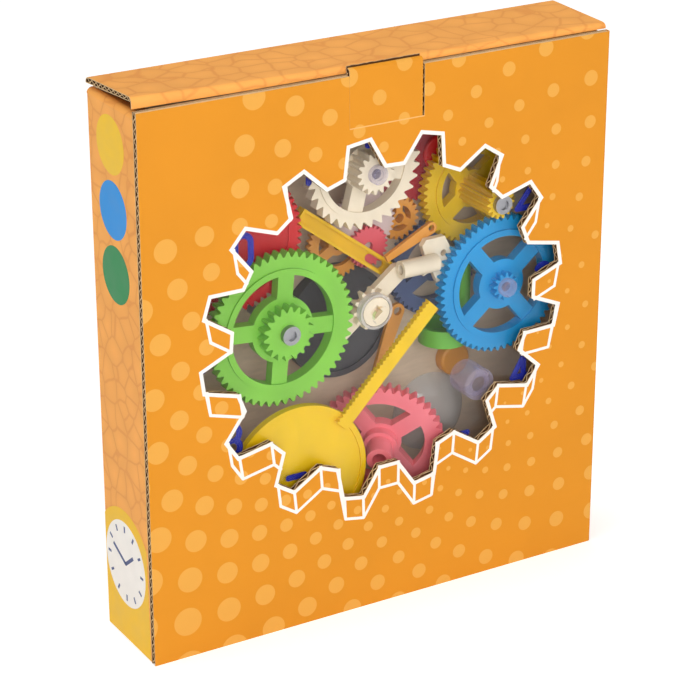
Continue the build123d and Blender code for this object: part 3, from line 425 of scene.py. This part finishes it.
front_print = board_material("front_print", "dots")
scale_print = board_material("scale_print", "scales")
bare_board = board_material("bare_board", base=INNER_LINER)
raw_edge = board_material("raw_edge", base=RAW_EDGE)
# Material for the faces inside the flutes, which paints their shade
painted_flute_shade = board_material("painted_flute_shade", base=FLUTE_SHADE_COLOUR)
white_ink = ink_material("white_ink", "#F8F2EA")
LOOKS = {
    "green": plastic("green_plastic", "#84CB45"),
    "deep_green": plastic("deep_green_plastic", "#6DBB42"),
    "blue": plastic("blue_plastic", "#0E96D6"),
    "ivory": plastic("ivory_plastic", "#EFE1C8", 0.30, 0.44),
    "yellow": plastic("yellow_plastic", "#F0C60A"),
    "deep_yellow": plastic("deep_yellow_plastic", "#E6B800"),
    "pink": plastic("pink_plastic", "#FF8490"),
    "red": plastic("red_plastic", "#CE1519"),
    "crimson": plastic("crimson_plastic", "#B3303A"),
    "rose": plastic("rose_plastic", "#DE5A66"),
    "slate": plastic("slate_plastic", "#5D6B92"),
    "orange": plastic("orange_plastic", "#E39A3C"),
    "grey": plastic("grey_plastic", "#4C4B4E", 0.36, 0.5),
    "white": plastic("white_plastic", "#EDEBE4", 0.32, 0.46),
    "pale": plastic("pale_plastic", "#E9D3CF", 0.30, 0.42, 0.8),
    "ink": plastic("numeral_ink", "#2430A8", 0.25, 0.35, 0.82),
    "dial": clear_sheet("dial_plastic"),
    "clear": clear_plastic("clear_plastic", "#F8F4F1", 0.34, 0.74),
    "violet": clear_plastic("violet_plastic", "#CFC2E6", 0.16, 0.70),
    "steel": steel("pin_steel"),
    "board": bare_board,
}
NODE_LOOKS = {
    "green": ("green_wheel",),
    "deep_green": ("winding_drum", "winding_arbor"),
    "blue": ("blue_wheel",),
    "ivory": ("escape_wheel", "crank_lever", "pallet_anchor"),
    "yellow": ("pendulum", "yellow_wheel"),
    "deep_yellow": ("channel_arm",),
    "pink": ("pink_wheel",),
    "red": ("red_wheel", "red_cap"),
    "crimson": ("crimson_wheel",),
    "rose": ("rose_wheel",),
    "slate": ("slate_wheel",),
    "orange": ("orange_wheel", "amber_wheel", "orange_button", "minute_hand", "hour_hand"),
    "grey": ("spring_barrel",),
    "pale": ("pale_wheel",),
    "white": ("clock_stand",),
    "ink": ("dial_numerals",),
    "dial": ("dial_plate",),
    "clear": ("clear_ring", "clear_dome"),
    "violet": ("clear_bush", "blue_axle_pin", "escape_axle_pin"),
    "steel": ("green_axle_pin", "yellow_axle_pin"),
    "board": ("glue_flap", "bottom_tuck_flap", "bottom_left_flap", "bottom_right_flap"),
}
# Boards that keep their solids, and the way their printed side looks
PRINTED_SIDES = {"back_panel": (0, 1, 0), "bottom_panel": (0, 0.7, -0.7), "tuck_flap": (0, -1, 0)}


def wear(node, material):
    """give a node of the solids its material"""
    piece = NODES[node]
    piece.data.materials.clear()
    piece.data.materials.append(material)


for look, names in NODE_LOOKS.items():
    for name in names:
        wear(name, LOOKS[look])
for name, axis in PRINTED_SIDES.items():
    wear(name, board_material(f"{name}_print", "scales", axis, INNER_LINER))

# Rounded folds of the back panel
bevel = NODES["back_panel"].modifiers.new("edge", "BEVEL")
bevel.width = BACK_ROUND * MM
bevel.segments = 3
bevel.limit_method = "ANGLE"
bevel.angle_limit = math.radians(40)


# Shapes of board, in millimetres
def window_outline():
    """corners of the window, clockwise from the top"""
    corners = []
    for lobe, following in zip(WINDOW_ANGLES, WINDOW_ANGLES[1:] + (WINDOW_ANGLES[0] + 360,)):
        root = (lobe + following) / 2
        for angle, (wide, tall) in ((lobe - WINDOW_TIP_LAND, WINDOW_TIP), (lobe + WINDOW_TIP_LAND, WINDOW_TIP),
                                    (root - WINDOW_ROOT_LAND, WINDOW_ROOT), (root + WINDOW_ROOT_LAND, WINDOW_ROOT)):
            turn = math.radians(angle)
            corners.append((WINDOW_X + wide * math.sin(turn), WINDOW_Z + tall * math.cos(turn)))
    return corners


def ragged(corners, seed, step=1.1, amount=0.16):
    """an outline with a torn-paper edge"""
    draw = random.Random(seed)
    points = []
    for (x0, z0), (x1, z1) in zip(corners, corners[1:] + corners[:1]):
        run = math.hypot(x1 - x0, z1 - z0)
        count = max(1, int(run / step))
        across = ((z1 - z0) / run, -(x1 - x0) / run)
        for i in range(count):
            shift = draw.uniform(-amount, amount) if i else 0.0
            points.append((x0 + (x1 - x0) * i / count + across[0] * shift,
                           z0 + (z1 - z0) * i / count + across[1] * shift))
    return points


def plate(outlines, low, high):
    """a flat sheet with holes, from outlines in x and z, between two depths in y"""
    curve = bpy.data.curves.new("outline", "CURVE")
    curve.dimensions = "2D"
    curve.fill_mode = "BOTH"
    curve.extrude = (high - low) / 2
    for outline in outlines:
        spline = curve.splines.new("POLY")
        spline.points.add(len(outline) - 1)
        for point, (x, z) in zip(spline.points, outline):
            point.co = (x, z, 0, 1)
        spline.use_cyclic_u = True
    holder = bpy.data.objects.new("outline", curve)
    bpy.context.collection.objects.link(holder)
    mesh = bpy.data.meshes.new_from_object(holder.evaluated_get(bpy.context.evaluated_depsgraph_get()))
    bpy.data.objects.remove(holder)
    bpy.data.curves.remove(curve)
    mesh.transform(Matrix(((1, 0, 0, 0), (0, 0, -1, (low + high) / 2), (0, 1, 0, 0), (0, 0, 0, 1))))
    shape = bmesh.new()
    shape.from_mesh(mesh)
    bmesh.ops.remove_doubles(shape, verts=shape.verts, dist=0.001)
    bmesh.ops.recalc_face_normals(shape, faces=shape.faces)
    shape.to_mesh(mesh)
    shape.free()
    return mesh


def ribbon(line, thick, low, high):
    """a bent sheet: a line of (a, b) points with a thickness, drawn out from low to high along x"""
    mesh = bpy.data.meshes.new("ribbon")
    points = []
    for i, (a, b) in enumerate(line):
        ahead = line[min(i + 1, len(line) - 1)]
        behind = line[max(i - 1, 0)]
        run = math.hypot(ahead[0] - behind[0], ahead[1] - behind[1])
        across = (-(ahead[1] - behind[1]) / run * thick / 2, (ahead[0] - behind[0]) / run * thick / 2)
        upper, lower = (a + across[0], b + across[1]), (a - across[0], b - across[1])
        points += [(low, *upper), (high, *upper), (low, *lower), (high, *lower)]
    last = 4 * (len(line) - 1)
    faces = []
    for k in range(0, last, 4):
        faces += [(k, k + 4, k + 5, k + 1), (k + 2, k + 3, k + 7, k + 6),
                  (k, k + 2, k + 6, k + 4), (k + 1, k + 5, k + 7, k + 3)]
    faces += [(0, 1, 3, 2), (last, last + 2, last + 3, last + 1)]
    mesh.from_pydata(points, [], faces)
    return mesh


def flutes(low, high, middle):
    """the wave of the board's medium: (along, across) points"""
    count = int((high - low) / FLUTE_PITCH * FLUTE_STEPS)
    line = []
    for i in range(count + 1):
        along = low + (high - low) * i / count
        wave = math.asin(FLUTE_PEAK * math.sin(2 * math.pi * along / FLUTE_PITCH)) / math.asin(FLUTE_PEAK)
        line.append((along, middle + SWING * wave))
    return line


def quarter(middle, radius, start, steps):
    """points of a quarter circle, anticlockwise from an angle in degrees"""
    turns = [math.radians(start + 90 * i / steps) for i in range(steps + 1)]
    return [(middle[0] + radius * math.cos(turn), middle[1] + radius * math.sin(turn)) for turn in turns]


def cut(mesh, cutter):
    """a mesh less another mesh"""
    first = bpy.data.objects.new("cut_from", mesh)
    second = bpy.data.objects.new("cut_by", cutter)
    for thing in (first, second):
        bpy.context.collection.objects.link(thing)
    tool = first.modifiers.new("cut", "BOOLEAN")
    tool.operation = "DIFFERENCE"
    tool.solver = "EXACT"
    tool.object = second
    made = bpy.data.meshes.new_from_object(first.evaluated_get(bpy.context.evaluated_depsgraph_get()))
    for thing, used in ((first, mesh), (second, cutter)):
        bpy.data.objects.remove(thing)
        bpy.data.meshes.remove(used)
    return made


def block(low, high):
    """a plain block between two corners"""
    mesh = bpy.data.meshes.new("block")
    shape = bmesh.new()
    bmesh.ops.create_cube(shape, size=1.0)
    for vertex in shape.verts:
        vertex.co = Vector([l + (h - l) * (c + 0.5) for l, h, c in zip(low, high, vertex.co)])
    shape.to_mesh(mesh)
    shape.free()
    return mesh


def swap_axes(mesh, order):
    """(x, a, b) of a ribbon to the axes named in order"""
    for vertex in mesh.vertices:
        old = tuple(vertex.co)
        vertex.co = [old[i] for i in order]
    return mesh


def sliced(mesh, stations):
    """a mesh with edge loops added at these places along x, so that it can bend"""
    shape = bmesh.new()
    shape.from_mesh(mesh)
    for x in stations:
        bmesh.ops.bisect_plane(shape, geom=shape.verts[:] + shape.edges[:] + shape.faces[:],
                               plane_co=(x, 0, 0), plane_no=(1, 0, 0))
    shape.to_mesh(mesh)
    shape.free()
    return mesh


def rounded(mesh, picks, radius, steps=5):
    """a mesh with the edges that picks chooses rounded off"""
    shape = bmesh.new()
    shape.from_mesh(mesh)
    chosen = [edge for edge in shape.edges if all(picks(vertex.co) for vertex in edge.verts)]
    bmesh.ops.bevel(shape, geom=chosen, offset=radius, segments=steps, profile=0.5, affect="EDGES")
    shape.to_mesh(mesh)
    shape.free()
    return mesh


def handed(mesh, side):
    """a mesh made for the left side, mirrored if it is for the right"""
    if side > 0:
        mesh.transform(Matrix.Diagonal((-1, 1, 1, 1)))
    return mesh


# The order of the materials on a board: print, raw paper, and dark paper that paints the shade inside the flutes
PRINT, PAPER, FLUTE_SHADE = range(3)


def one_look(kind, face):
    """every face takes the first material"""
    return PRINT


def piece_of(name, meshes, materials, body, chooser=one_look):
    """join meshes in millimetres into one piece; chooser gives each face its material"""
    shape = bmesh.new()
    for kind, mesh in meshes:
        before = len(shape.faces)
        shape.from_mesh(mesh)
        shape.faces.ensure_lookup_table()
        bmesh.ops.recalc_face_normals(shape, faces=shape.faces[before:])
        shape.normal_update()
        for face in shape.faces[before:]:
            face.material_index = chooser(kind, face)
        bpy.data.meshes.remove(mesh)
    bmesh.ops.scale(shape, vec=(MM, MM, MM), verts=shape.verts)
    joined = bpy.data.meshes.new(name)
    shape.to_mesh(joined)
    shape.free()
    for material in materials:
        joined.materials.append(material)
    made = bpy.data.objects.new(name, joined)
    bpy.context.collection.objects.link(made)
    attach(made, body)
    return made


# Front panel: the printed liner, the medium, the inner liner and the right fold
window = window_outline()
notch_left = TAB_MID - TAB_HALF - TAB_GAP / 4
notch_right = TAB_MID + TAB_HALF + TAB_SLIT
notch_low = TAB_LOW - TAB_GAP
front_right = HALF_WIDTH - FOLD
panel_outline = [(-HALF_WIDTH, 0), (front_right, 0), (front_right, PANEL_TOP), (notch_right, PANEL_TOP),
                 (notch_right, notch_low), (notch_left, notch_low), (notch_left, PANEL_TOP),
                 (-HALF_WIDTH, PANEL_TOP)]


def front_medium():
    """the front panel's wave, cut by the window and the tab's notch"""
    wave = ribbon(flutes(*FRONT_WAVE, BOARD_MID), MEDIUM, -HALF_WIDTH + EASE, front_right)
    opened = cut(swap_axes(wave, (0, 2, 1)), plate([ragged(window, 5)], FRONT_Y - PAST, INNER_Y + PAST))
    return cut(opened, block((notch_left, FRONT_Y - PAST, notch_low),
                             (notch_right, INNER_Y + PAST, PANEL_TOP + PAST)))


def top_edge(left, right):
    """the pressed flutes along the front panel's top, between two places along x"""
    return block((left, FRONT_Y + LINER, PANEL_TOP - TOP_EDGE), (right, INNER_Y - LINER, PANEL_TOP - EASE))


def fold_line():
    """the right fold of the front panel, from the front round to the side, in x and y"""
    middle = (front_right, FRONT_Y + FOLD)
    return quarter(middle, FOLD - LINER / 2, -90, 8) + [(HALF_WIDTH - LINER / 2, INNER_Y)]


def in_flute(face):
    """whether a face of an upright board looks into its flutes"""
    return abs(face.normal.y) > 0.3 and FRONT_Y + EASE < face.calc_center_median().y < INNER_Y - EASE


def front_face(kind, face):
    """print outside, dark paper as painted shade in the flutes, raw edges elsewhere"""
    if kind == "fold":
        return PRINT if face.calc_center_median().y < INNER_Y - 0.5 else PAPER
    if kind == "print" and face.normal.y < -0.9:
        return PRINT
    return FLUTE_SHADE if in_flute(face) else PAPER


front_meshes = [
    ("print", plate([panel_outline, window], FRONT_Y, FRONT_Y + LINER)),
    ("paper", plate([panel_outline, ragged(window, 8)], INNER_Y - LINER, INNER_Y)),
    ("paper", front_medium()),
    ("paper", top_edge(-HALF_WIDTH + TOP_EDGE_START, notch_left)),
    ("paper", top_edge(notch_right, front_right)),
    ("fold", swap_axes(ribbon(fold_line(), LINER, 0.0, PANEL_TOP), (1, 2, 0))),
]
front_board = piece_of("front_board", front_meshes, [front_print, raw_edge, painted_flute_shade], "carton", front_face)
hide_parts("front_panel")


# Lid: the front fold stands behind the front panel, and the front left corner springs up a little
def spring(x):
    """how far the lid's front edge stands up at a place along x"""
    for (x0, up0), (x1, up1) in zip(LID_SPRING, LID_SPRING[1:]):
        if x <= x1:
            return up0 + (up1 - up0) * max(0.0, x - x0) / (x1 - x0)
    return LID_SPRING[-1][1]


def lid_skin():
    """the lid's outer skin, from the back fold over the top to the front fold, in y and z"""
    radius = LID_FOLD - LINER / 2
    height = LID_TOP - LID_FOLD
    return [(BACK_Y - LINER / 2, LID_LOW), *quarter((BACK_Y - LID_FOLD, height), radius, 0, 8),
            *quarter((LID_FRONT + LID_FOLD, height), radius, 90, 8), (LID_FRONT + LINER / 2, LID_LOW)]


def sprung(mesh, skin=False):
    """bend a mesh of the lid; the skin's front drop keeps its lower edge, and the underside never sinks"""
    for vertex in sliced(mesh, LID_STATIONS).vertices:
        x, y, z = vertex.co
        share = ((BACK_Y - y) / (BACK_Y - LID_FRONT)) ** LID_BEND if y < BACK_Y else 0.0
        if skin and y < LID_FRONT + LID_FOLD:
            share *= min(1.0, (z - LID_LOW) / SKIN_DROP)
        ending = min(1.0, max(0.0, (CRUSH_START - x) / CRUSH_RUN))
        crush = CRUSH * ending * (CRUSH_AT_BACK + (1 - CRUSH_AT_BACK) * share)
        lift = spring(x) * share
        if lift < 0:
            lift *= (z - LID_LOW) / (LID_TOP - LID_LOW)
        vertex.co.z = z + lift + crush * (LID_TOP - z)
    return mesh


def lid_medium():
    """the lid's wave, from the front fold to the back fold"""
    line = flutes(*LID_WAVE, (LID_LOW + LID_TOP) / 2)
    return ribbon(line, MEDIUM, -HALF_WIDTH + EASE, HALF_WIDTH - EASE)


def lid_liner():
    """the lid's inner liner"""
    return block((-HALF_WIDTH, LID_FRONT + LINER, LID_LOW), (HALF_WIDTH, BACK_Y - LINER, LID_LOW + LINER))


def lid_face(kind, face):
    """print outside, raw edges at the ends and below, dark paper as painted shade in the flutes"""
    side_out = abs(face.normal.y) > 0.5 and face.normal.y * face.calc_center_median().y > 0
    if kind == "print" and (face.normal.z > 0.1 or side_out):
        return PRINT
    if abs(face.normal.x) > 0.7 or (kind == "liner" and face.normal.z < 0.5):
        return PAPER
    return FLUTE_SHADE


lid_meshes = [
    ("print", sprung(ribbon(lid_skin(), LINER, -HALF_WIDTH, HALF_WIDTH), True)),
    ("liner", sprung(lid_liner())),
    ("paper", sprung(lid_medium())),
]
lid_board = piece_of("lid_board", lid_meshes, [scale_print, raw_edge, painted_flute_shade], "lid", lid_face)
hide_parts("lid_panel")

# Lock tab: its skin's top rolls back towards the lid
tab_left = TAB_MID - TAB_HALF
tab_right = TAB_MID + TAB_HALF
tab_top = LID_TOP + EASE
tab_outline = [(tab_left, TAB_LOW), (tab_right, TAB_LOW), (tab_right, tab_top), (tab_left, tab_top)]


def tab_skin():
    """the tab's outer skin, from its crease up and back over the top, in y and z"""
    front = FRONT_Y + LINER / 2
    middle = (FRONT_Y + TAB_ROLL, LID_TOP - TAB_SINK - TAB_ROLL)
    roll = quarter(middle, TAB_ROLL - LINER / 2, 90, 7)
    return [(front, TAB_LOW), (front, TAB_LOW + TAB_STRAIGHT), *reversed(roll)]


def tab_medium():
    """the tab's wave, from its crease to under its roll"""
    wave = ribbon(flutes(*TAB_WAVE, BOARD_MID), MEDIUM, tab_left + EASE, tab_right - EASE)
    return swap_axes(wave, (0, 2, 1))


def tab_face(kind, face):
    """print outside, dark paper as painted shade in the flutes, raw edges elsewhere"""
    if kind == "fold":
        return PRINT if face.normal.y < -0.3 or face.normal.z > 0.3 else PAPER
    return FLUTE_SHADE if in_flute(face) else PAPER


tab_meshes = [
    ("fold", ribbon(tab_skin(), LINER, tab_left, tab_right)),
    ("paper", plate([ragged(tab_outline, 3, amount=0.1)], INNER_Y - LINER, INNER_Y)),
    ("paper", tab_medium()),
]
tab_board = piece_of("tab_board", tab_meshes, [front_print, raw_edge, painted_flute_shade], "tab", tab_face)
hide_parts("lock_tab")
crease_line = [(FRONT_Y + deep, TAB_LOW + up) for deep, up in CREASE]
piece_of("tab_crease", [("fold", ribbon(crease_line, CREASE_THICK, notch_left, notch_right))],
         [ink_material("crease_ink", "#F3B566")], "carton")


# Side walls and the dust flaps that fold from their tops
def side_wall(side):
    """a side wall, with its back fold and its foot rounded"""
    mesh = block((-HALF_WIDTH, INNER_Y, 0), (-HALF_WIDTH + BOARD, BACK_Y, SIDE_TOP))
    outside = -HALF_WIDTH + NEAR
    mesh = rounded(mesh, lambda at: at.x < outside and at.y > BACK_Y - NEAR, WALL_ROUND)
    mesh = rounded(mesh, lambda at: at.x < outside and at.z < NEAR, WALL_FOOT_ROUND)
    return handed(mesh, side)


def dust_flap(side):
    """a dust flap that hangs into the carton, with its fold rounded"""
    sag = math.radians(DUST_SAG)
    along, up = (math.cos(sag), -math.sin(sag)), (math.sin(sag), math.cos(sag))
    points = []
    for rise in (0.0, BOARD):
        for u, y in DUST_PLAN:
            points.append((-HALF_WIDTH + u * along[0] + rise * up[0], y, SIDE_TOP + u * along[1] + rise * up[1]))
    count = len(DUST_PLAN)
    faces = [tuple(range(count - 1, -1, -1)), tuple(range(count, 2 * count))]
    faces += [(i, (i + 1) % count, count + (i + 1) % count, count + i) for i in range(count)]
    mesh = bpy.data.meshes.new("flap")
    mesh.from_pydata(points, [], faces)
    fold_x, fold_z = points[count][0], points[count][2]
    mesh = rounded(mesh, lambda at: abs(at.x - fold_x) < NEAR and abs(at.z - fold_z) < NEAR, DUST_ROUND, 7)
    return handed(mesh, side)


def wall_face(side):
    """a chooser for a side wall: print outside, below and at the back, bare board inside"""
    def choose(kind, face):
        normal = face.normal
        return PRINT if normal.x * side > 0.05 or normal.z < -0.2 or normal.y > 0.5 else PAPER
    return choose


def flap_face(side):
    """a chooser for a dust flap: print on top and at the fold, raw edges elsewhere"""
    def choose(kind, face):
        return PRINT if face.normal.z > 0.2 or face.normal.x * side > 0.4 else PAPER
    return choose


for side, hand in ((-1, "left"), (1, "right")):
    wall = piece_of(f"{hand}_wall", [("wall", side_wall(side))], [scale_print, bare_board], "carton",
                    wall_face(side))
    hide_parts(f"{hand}_side_panel")
    flap = piece_of(f"{hand}_flap", [("flap", dust_flap(side))], [scale_print, raw_edge], f"{hand}_dust",
                    flap_face(side))
    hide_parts(f"{hand}_dust_flap")


# White lines of the print round the window
def inside(point, corners):
    """whether a point lies inside an outline"""
    x, z = point
    hit = False
    for (x0, z0), (x1, z1) in zip(corners, corners[1:] + corners[:1]):
        if (z0 > z) != (z1 > z) and x < (x1 - x0) * (z - z0) / (z1 - z0) + x0:
            hit = not hit
    return hit


def between(start, end, share):
    """the point at a share of the way from start to end"""
    return (start[0] + (end[0] - start[0]) * share, start[1] + (end[1] - start[1]) * share)


def board_runs(start, end, corners, steps=60):
    """the stretches of a line that lie on the board, as pairs of points"""
    runs = []
    begun = None
    for i in range(steps + 1):
        share = i / steps
        if not inside(between(start, end, share), corners):
            begun = share if begun is None else begun
        elif begun is not None:
            runs.append((begun, share))
            begun = None
    if begun is not None:
        runs.append((begun, 1.0))
    return [(between(start, end, low), between(start, end, high)) for low, high in runs if high - low > SHORTEST_RUN]


def stroke(start, end, width):
    """a line with a width and square ends that stand out a little, as an outline"""
    run = math.hypot(end[0] - start[0], end[1] - start[1])
    along = ((end[0] - start[0]) / run * width / 2, (end[1] - start[1]) / run * width / 2)
    across = (-along[1], along[0])
    outline = []
    for point, out, hand in ((start, -STROKE_END, 1), (start, -STROKE_END, -1),
                             (end, STROKE_END, -1), (end, STROKE_END, 1)):
        outline.append(tuple(p + a * out + c * hand for p, a, c in zip(point, along, across)))
    return outline


def grown(corners, amount):
    """an outline moved outwards, with mitred corners"""
    points = []
    for before, here, after in zip(corners[-1:] + corners[:-1], corners, corners[1:] + corners[:1]):
        first = Vector((here[0] - before[0], here[1] - before[1])).normalized()
        second = Vector((after[0] - here[0], after[1] - here[1])).normalized()
        out_first, out_second = Vector((-first.y, first.x)), Vector((-second.y, second.x))
        miter = (out_first + out_second).normalized()
        reach = amount / max(0.5, miter.dot(out_first))
        points.append((here[0] + miter.x * reach, here[1] + miter.y * reach))
    return points


def dropped_lines():
    """the lines of the window's lower half, drawn again lower down, and those that join the two"""
    dropped = [(x - DROP_LEAN * (x - WINDOW_X), z - DROP) for x, z in window]
    for i, corner in enumerate(window):
        following = (i + 1) % len(window)
        under = window[following][0] < corner[0]
        if under:
            yield from board_runs(dropped[i], dropped[following], window)
        if under or corner[0] < window[i - 1][0]:
            yield from board_runs(corner, dropped[i], window)


# The outline stands out most, and each line under it a little more than the one before, so that no two
# faces lie in one plane
line_meshes = [("line", plate([grown(window, LINE_WIDTH), window], FRONT_Y - INK, FRONT_Y))]
for start, end in dropped_lines():
    height = DROP_LINE_INK + DROP_LINE_STEP * len(line_meshes)
    line_meshes.append(("line", plate([stroke(start, end, DROP_LINE_WIDTH)], FRONT_Y - height, FRONT_Y)))
piece_of("window_lines", line_meshes, [white_ink], "carton")


# Plain round badges and the yellow field on the left side
def side_shape(outline, height):
    """a flat print on the left side, from an outline in y and z"""
    mesh = plate([outline], -height, 0.0)
    for vertex in mesh.vertices:
        across, out, up = vertex.co
        vertex.co = (-HALF_WIDTH + out, across, up)
    return mesh


def ring(middle, wide, tall, count=64):
    """an oval outline"""
    turns = [2 * math.pi * i / count for i in range(count)]
    return [(middle[0] + wide * math.cos(turn), middle[1] + tall * math.sin(turn)) for turn in turns]


def dial_point(degrees, wide, tall):
    """a point of the round dial, clockwise from its top"""
    turn = math.radians(degrees)
    return (FIELD_MIDDLE[0] + wide * math.sin(turn), FIELD_MIDDLE[1] + tall * math.cos(turn))


for number, (across, up, code) in enumerate(BADGES, 1):
    disc = side_shape(ring((across, up), BADGE_RADIUS, BADGE_RADIUS), INK)
    piece_of(f"side_badge_{number}", [("disc", disc)], [ink_material(f"badge_ink_{number}", code)], "carton")

field = list(FIELD_FOOT)
for i in range(FIELD_STEPS + 1):
    turn = math.radians(FIELD_ARC[0] + (FIELD_ARC[1] - FIELD_ARC[0]) * i / FIELD_STEPS)
    field.append((FIELD_MIDDLE[0] + FIELD_RADIUS * math.cos(turn), FIELD_MIDDLE[1] + FIELD_RADIUS * math.sin(turn)))
marks = [stroke(dial_point(30 * hour, *TICK_START), dial_point(30 * hour, *TICK_END), TICK_WIDTH)
         for hour in range(12)]
marks += [stroke(FIELD_MIDDLE, dial_point(degrees, length, length), HAND_WIDTH) for degrees, length in HANDS]
FIELD_INKS = ("field", "disc", "tick")
field_meshes = [
    ("field", side_shape(field, INK)),
    ("disc", side_shape(ring(FIELD_MIDDLE, *DIAL_SIZE), DIAL_INK)),
    *(("tick", side_shape(mark, MARK_INK)) for mark in marks),
]
piece_of("side_field", field_meshes,
         [ink_material("field_ink", "#F2BE08"), white_ink, ink_material("tick_ink", "#3B4A7C")],
         "carton", lambda kind, face: FIELD_INKS.index(kind))

# Floor, which glows where it is seen, so that it is pale also far away
floor_mesh = bpy.data.meshes.new("floor")
floor_mesh.from_pydata([(-FLOOR_HALF, -FLOOR_HALF, 0), (FLOOR_HALF, -FLOOR_HALF, 0), (FLOOR_HALF, FLOOR_HALF, 0),
                        (-FLOOR_HALF, FLOOR_HALF, 0)], [], [(0, 1, 2, 3)])
floor = bpy.data.objects.new("floor", floor_mesh)
bpy.context.collection.objects.link(floor)
floor_graph = Graph("floor")
floor_tone = floor_graph.mix(floor_graph.noise(3.0), (0.93, 0.93, 0.93, 1), (0.95, 0.95, 0.95, 1))
path = floor_graph.node("ShaderNodeLightPath")
seen = floor_graph.math("ADD", path.outputs["Is Camera Ray"], path.outputs["Is Glossy Ray"])
seen = floor_graph.math("ADD", seen, path.outputs["Is Transmission Ray"], clamp=True)
floor_x, floor_y, _ = floor_graph.parts(floor_graph.place)
glow = floor_graph.spread(floor_graph.span(floor_x, floor_y), *FLOOR_GLOW_REACH, *FLOOR_GLOW)
floor_graph.bsdf.inputs["Emission Color"].default_value = WHITE
floor_graph.set(Base_Color=floor_tone, Roughness=0.8, Emission_Strength=floor_graph.math("MULTIPLY", seen, glow))
floor_mesh.materials.append(floor_graph.material)

# Light
scene = bpy.context.scene
scene.view_settings.view_transform = "Standard"
world = bpy.data.worlds.new("studio")
scene.world = world
world.use_nodes = True
backdrop = world.node_tree.nodes["Background"]
backdrop.inputs["Color"].default_value = WHITE
backdrop.inputs["Strength"].default_value = WORLD_LIGHT


def lamp(name, place, size, power):
    """a square soft light that looks at the carton"""
    data = bpy.data.lights.new(name, "AREA")
    data.size = size
    data.energy = power
    made = bpy.data.objects.new(name, data)
    made.location = place
    made.rotation_euler = (Vector(LAMP_AIM) - Vector(place)).to_track_quat("-Z", "Y").to_euler()
    bpy.context.collection.objects.link(made)


lamp("key", (-0.55, -1.5, 0.75), 1.0, 14.5)
lamp("fill", (1.0, -1.2, 0.7), 1.1, 5)
lamp("top", (-0.4, 0.2, 1.7), 1.2, 11)
lamp("left", (-1.6, -0.4, 0.7), 0.9, 3.0)

# Camera
camera_data = bpy.data.cameras.new("camera")
camera_data.sensor_width = 36.0
camera_data.lens = CAMERA_LENS
camera = bpy.data.objects.new("camera", camera_data)
forward = Vector(CAMERA_FORWARD).normalized()
right = Vector(CAMERA_RIGHT)
right = (right - forward * right.dot(forward)).normalized()
facing = Matrix((right, right.cross(forward), -forward)).transposed()
camera.matrix_world = Matrix.Translation(Vector(CAMERA_PLACE)) @ facing.to_4x4()
bpy.context.collection.objects.link(camera)
scene.camera = camera

bpy.context.view_layer.update()
